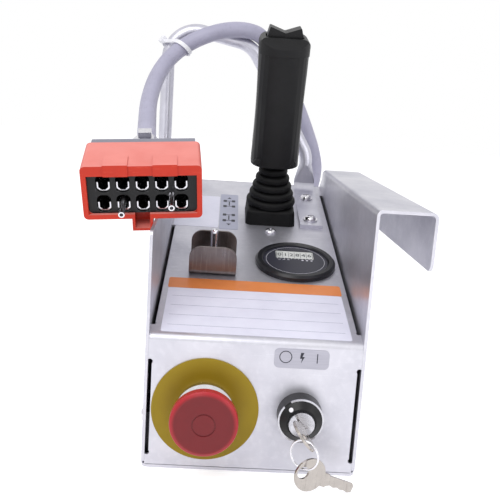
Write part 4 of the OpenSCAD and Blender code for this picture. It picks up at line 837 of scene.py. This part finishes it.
# %% Blank labels
LABEL_THICK, LABEL_CORNER, LABEL_LIFT = 0.16, 1.6, 0.02
ON_LABEL = LABEL_THICK + 0.03
SYMBOLS_X, SYMBOLS_U = -20.5, 206.5
LABELS = (
    ("label_band", label_orange, "plug_orange", 122, 14.6, 0, 69.6),
    ("label_field", label_white, "tie_white", 121, 57.5, 0, 33.2),
    ("label_rear", label_white, "tie_white", 37, 70, -47.6, 204.5),
    ("symbol_plate", symbol_grey, "legend_metal", 16, 79, SYMBOLS_X, SYMBOLS_U),
)
RULE_LENGTH, RULE_WIDTH, RULE_THICK = 114, 0.35, 0.05
for name, finish, slot, width, height, x, u in LABELS:
    piece(plate(width, height, LABEL_THICK, LABEL_CORNER), name, "housing",
          finish.material, on_panel(x, u, LABEL_LIFT))
for k, u in enumerate((50.5, 38, 25.5, 13)):
    piece(plate(RULE_LENGTH, RULE_WIDTH, RULE_THICK), "label_rule_%d" % k, "housing",
          symbol_grey.material, on_panel(0, u, ON_LABEL))
print("labels laid:", len(LABELS))

# %% [markdown]
# ## Marks of the drive directions
# The narrow plate beside the joystick shows two groups of four squares, each with a small
# arrow: the wheels, and the way that they turn. They are generic marks, cut as thin plates.

# %% Squares and arrows
INK_THICK = 0.06
WHEEL_ACROSS, WHEEL_ALONG, WHEEL_WIDTH, WHEEL_LENGTH = 3.8, 6.2, 3.0, 4.6
FRAME_WIDTH, FRAME_LENGTH, AXLE_LENGTH, AXLE_WIDTH = 1.0, 9.0, 7.6, 0.8
ARROW_HALF, ARROW_BACK, ARROW_TIP = 1.8, 1.6, 1.9
marks = []
for group_u, arrow_u, point in ((223.5, 237, 1), (191.5, 177, -1)):
    middle = group_u - SYMBOLS_U
    for x in (-WHEEL_ACROSS, WHEEL_ACROSS):
        for along in (-WHEEL_ALONG, WHEEL_ALONG):
            wheel = plate(WHEEL_WIDTH, WHEEL_LENGTH, INK_THICK, 0.5, 2)
            marks.append(moved(wheel, x, middle + along))
    marks.append(moved(plate(FRAME_WIDTH, FRAME_LENGTH, INK_THICK), 0, middle))
    for along in (WHEEL_ALONG, -WHEEL_ALONG):
        marks.append(moved(plate(AXLE_LENGTH, AXLE_WIDTH, INK_THICK), 0, middle + along))
    arrow = [(-ARROW_HALF, -ARROW_BACK * point), (ARROW_HALF, -ARROW_BACK * point),
             (0, ARROW_TIP * point)]
    marks.append(moved(cutout(arrow[::point], INK_THICK), 0, arrow_u - SYMBOLS_U))
piece(joined(*marks), "drive_marks", "housing", print_ink.material,
      on_panel(SYMBOLS_X, SYMBOLS_U, ON_LABEL))
print("drive marks cut")

# %% [markdown]
# ## Marks on the legend plate
# The plate above the key switch shows what its three places do: a circle for off, a flash
# and a bar for on. The circle is a ring, the flash a cut-out and the bar a narrow plate.

# %% Circle, flash and bar
STAMP_THICK = 0.05
LEGEND_X, LEGEND_Z, LEGEND_OUT = 28.8, 78.2, 0.51
FLASH = [(-1.5, -0.5), (-0.1, -0.5), (-0.7, -3.6), (1.5, 0.7), (0.0, 0.7), (1.1, 3.4),
         (-1.0, 3.4)]
legend = [moved(ring(3.5, 4.05, STAMP_THICK, 48), -10.2, 1.0),
          moved(cutout(FLASH, STAMP_THICK), 0.2, 0.8),
          moved(plate(0.6, 6.2, STAMP_THICK), 9.7, 0.8)]
piece(joined(*legend), "legend_marks", "housing", print_ink.material,
      on_front(LEGEND_X, LEGEND_Z, LEGEND_OUT))
print("legend printed")

# %% [markdown]
# ## The hour meter
# The meter counts the hours that the lift has run. Behind its window sit six number wheels,
# so each figure has a dark gap on either side. Small pale marks below the window divide the
# hours from their tenths.

# %% Number wheels and marks
METER_X, METER_U, METER_FACE = 31.0, 110.0, 3.0
WINDOW_U, WINDOW_TOP = 9.5, 2.6
COUNT = "012846"
WHEEL_PITCH, FIGURE_HEIGHT, GAP_WIDTH, GAP_HEIGHT = 4.6, 4.8, 0.3, 9.0
MARKS_U, SCALE_U, SCALE_START, SCALE_STEP, SCALE_MARKS = 0.2, 2.2, -13.5, 2.7, 11
PRINT_LIFT = 0.01
wheels = [moved(plate(GAP_WIDTH, GAP_HEIGHT, INK_THICK), (k - 3) * WHEEL_PITCH, WINDOW_U)
          for k in range(7)]
wheels += [moved(figures(figure, FIGURE_HEIGHT, INK_THICK), (k - 2.5) * WHEEL_PITCH, WINDOW_U)
           for k, figure in enumerate(COUNT)]
piece(joined(*wheels), "meter_figures", "housing", print_ink.material,
      on_panel(METER_X, METER_U, WINDOW_TOP + PRINT_LIFT))
ticks = [moved(plate(1.9, 0.5, STAMP_THICK), x, MARKS_U) for x in (-12.0, -8.6, -5.2)]
ticks += [moved(plate(1.5, 1.5, STAMP_THICK, 0.3, 2), x, MARKS_U) for x in (5.6, 9.0, 12.4)]
ticks += [moved(plate(0.4, 1.2, STAMP_THICK), SCALE_START + SCALE_STEP * k, SCALE_U)
          for k in range(SCALE_MARKS)]
ticks.append(ring(22.0, 22.25, STAMP_THICK, 96))
piece(joined(*ticks), "meter_marks", "housing", print_pale.material,
      on_panel(METER_X, METER_U, METER_FACE + PRINT_LIFT))
print("meter marked")

# %% [markdown]
# ## The dot on the key switch
# A white dot on the sloping black ring lines up with the gap in the bright rim and shows where
# the lock's rest is. It is a low dome, laid on the slope by one more turn in its matrix.

# %% White dot
LOCK_X, LOCK_Z = 30, 41.5
BEZEL_WIDE, BEZEL_NARROW, BEZEL_SHOULDER, BEZEL_TOP = 13.4, 9.4, 11.3, 14.6
BEZEL_SLOPE = math.atan2(BEZEL_TOP - BEZEL_SHOULDER, BEZEL_WIDE - BEZEL_NARROW)
DOT_TURN, DOT_RADIUS, DOT_OUT = math.radians(40), 10.7, 13.53
DOME = [(0, -0.3), (1.45, -0.3), (1.45, 0.05), (1.2, 0.22), (0.7, 0.32), (0, 0.36)]
dot_place = on_front(LOCK_X, LOCK_Z) @ Matrix.Rotation(DOT_TURN, 4, "Z")
dot_place = dot_place @ Matrix.Translation((0, DOT_RADIUS, DOT_OUT))
dot_place = dot_place @ Matrix.Rotation(-BEZEL_SLOPE, 4, "X")
piece(turned(DOME, 32), "lock_dot", "housing", tie_plastic.material, dot_place)
print("dot laid")

# %% [markdown]
# ## Room and light
# The box stands on a pale floor in a bright room, whose light falls off towards the horizon.
# What the camera sees directly, mirrored or through glass is plain white, on the floor as in
# the room. A large soft lamp from the left and a weaker one from the right shape the forms.

# %% Floor, room and lamps
floor_paint = bpy.data.materials.new("pale_floor")
floor_paint.use_nodes = True
tree = floor_paint.node_tree
tree.nodes.remove(tree.nodes["Principled BSDF"])
matt = add(tree, "ShaderNodeBsdfDiffuse", Color=(0.9, 0.9, 0.9, 1))
glow = add(tree, "ShaderNodeEmission", Color=(1, 1, 1, 1), Strength=0.42)
dark = add(tree, "ShaderNodeEmission", Color=(0, 0, 0, 1), Strength=0.0)
seen = add(tree, "ShaderNodeMixShader", [(sees_background(tree), 0), (dark.outputs[0], 1),
                                         (glow.outputs[0], 2)])
both = add(tree, "ShaderNodeAddShader", [(matt.outputs[0], 0), (seen.outputs[0], 1)])
tree.links.new(both.outputs[0], tree.nodes["Material Output"].inputs["Surface"])
floor_shape = bmesh.new()
bmesh.ops.create_grid(floor_shape, x_segments=1, y_segments=1, size=4.0)
as_object(floor_shape, "floor", floor_paint, smooth=0)

room = bpy.data.worlds.new("bright_room")
scene.world = room
room.use_nodes = True
tree = room.node_tree
tree.nodes.clear()
way = add(tree, "ShaderNodeTexCoord")
split = add(tree, "ShaderNodeSeparateXYZ", [(way.outputs["Generated"], 0)])
level = stretched(tree, split.outputs["Z"], From_Min=0.0, From_Max=0.75, To_Min=0.42,
                  To_Max=0.95)
ambient = add(tree, "ShaderNodeBackground", [(level, "Strength")], Color=(0.97, 0.97, 1.0, 1))
white = add(tree, "ShaderNodeBackground", Color=(1, 1, 1, 1), Strength=1.0)
picked = add(tree, "ShaderNodeMixShader", [(sees_background(tree), 0), (ambient.outputs[0], 1),
                                           (white.outputs[0], 2)])
add(tree, "ShaderNodeOutputWorld", [(picked.outputs[0], "Surface")])


def soft_lamp(name, place, target, size, power):
    """A square area lamp that looks at a point."""
    data = bpy.data.lights.new(name, "AREA")
    data.size = size
    data.energy = power
    lamp = bpy.data.objects.new(name, data)
    scene.collection.objects.link(lamp)
    lamp.location = place
    lamp.rotation_euler = (Vector(target) - Vector(place)).to_track_quat("-Z", "Y").to_euler()


soft_lamp("key_lamp", (-0.5, -1.0, 1.2), (0, 0, 0.12), 0.9, 9.0)
soft_lamp("fill_lamp", (0.9, -0.9, 0.5), (0, 0, 0.1), 0.8, 3.0)
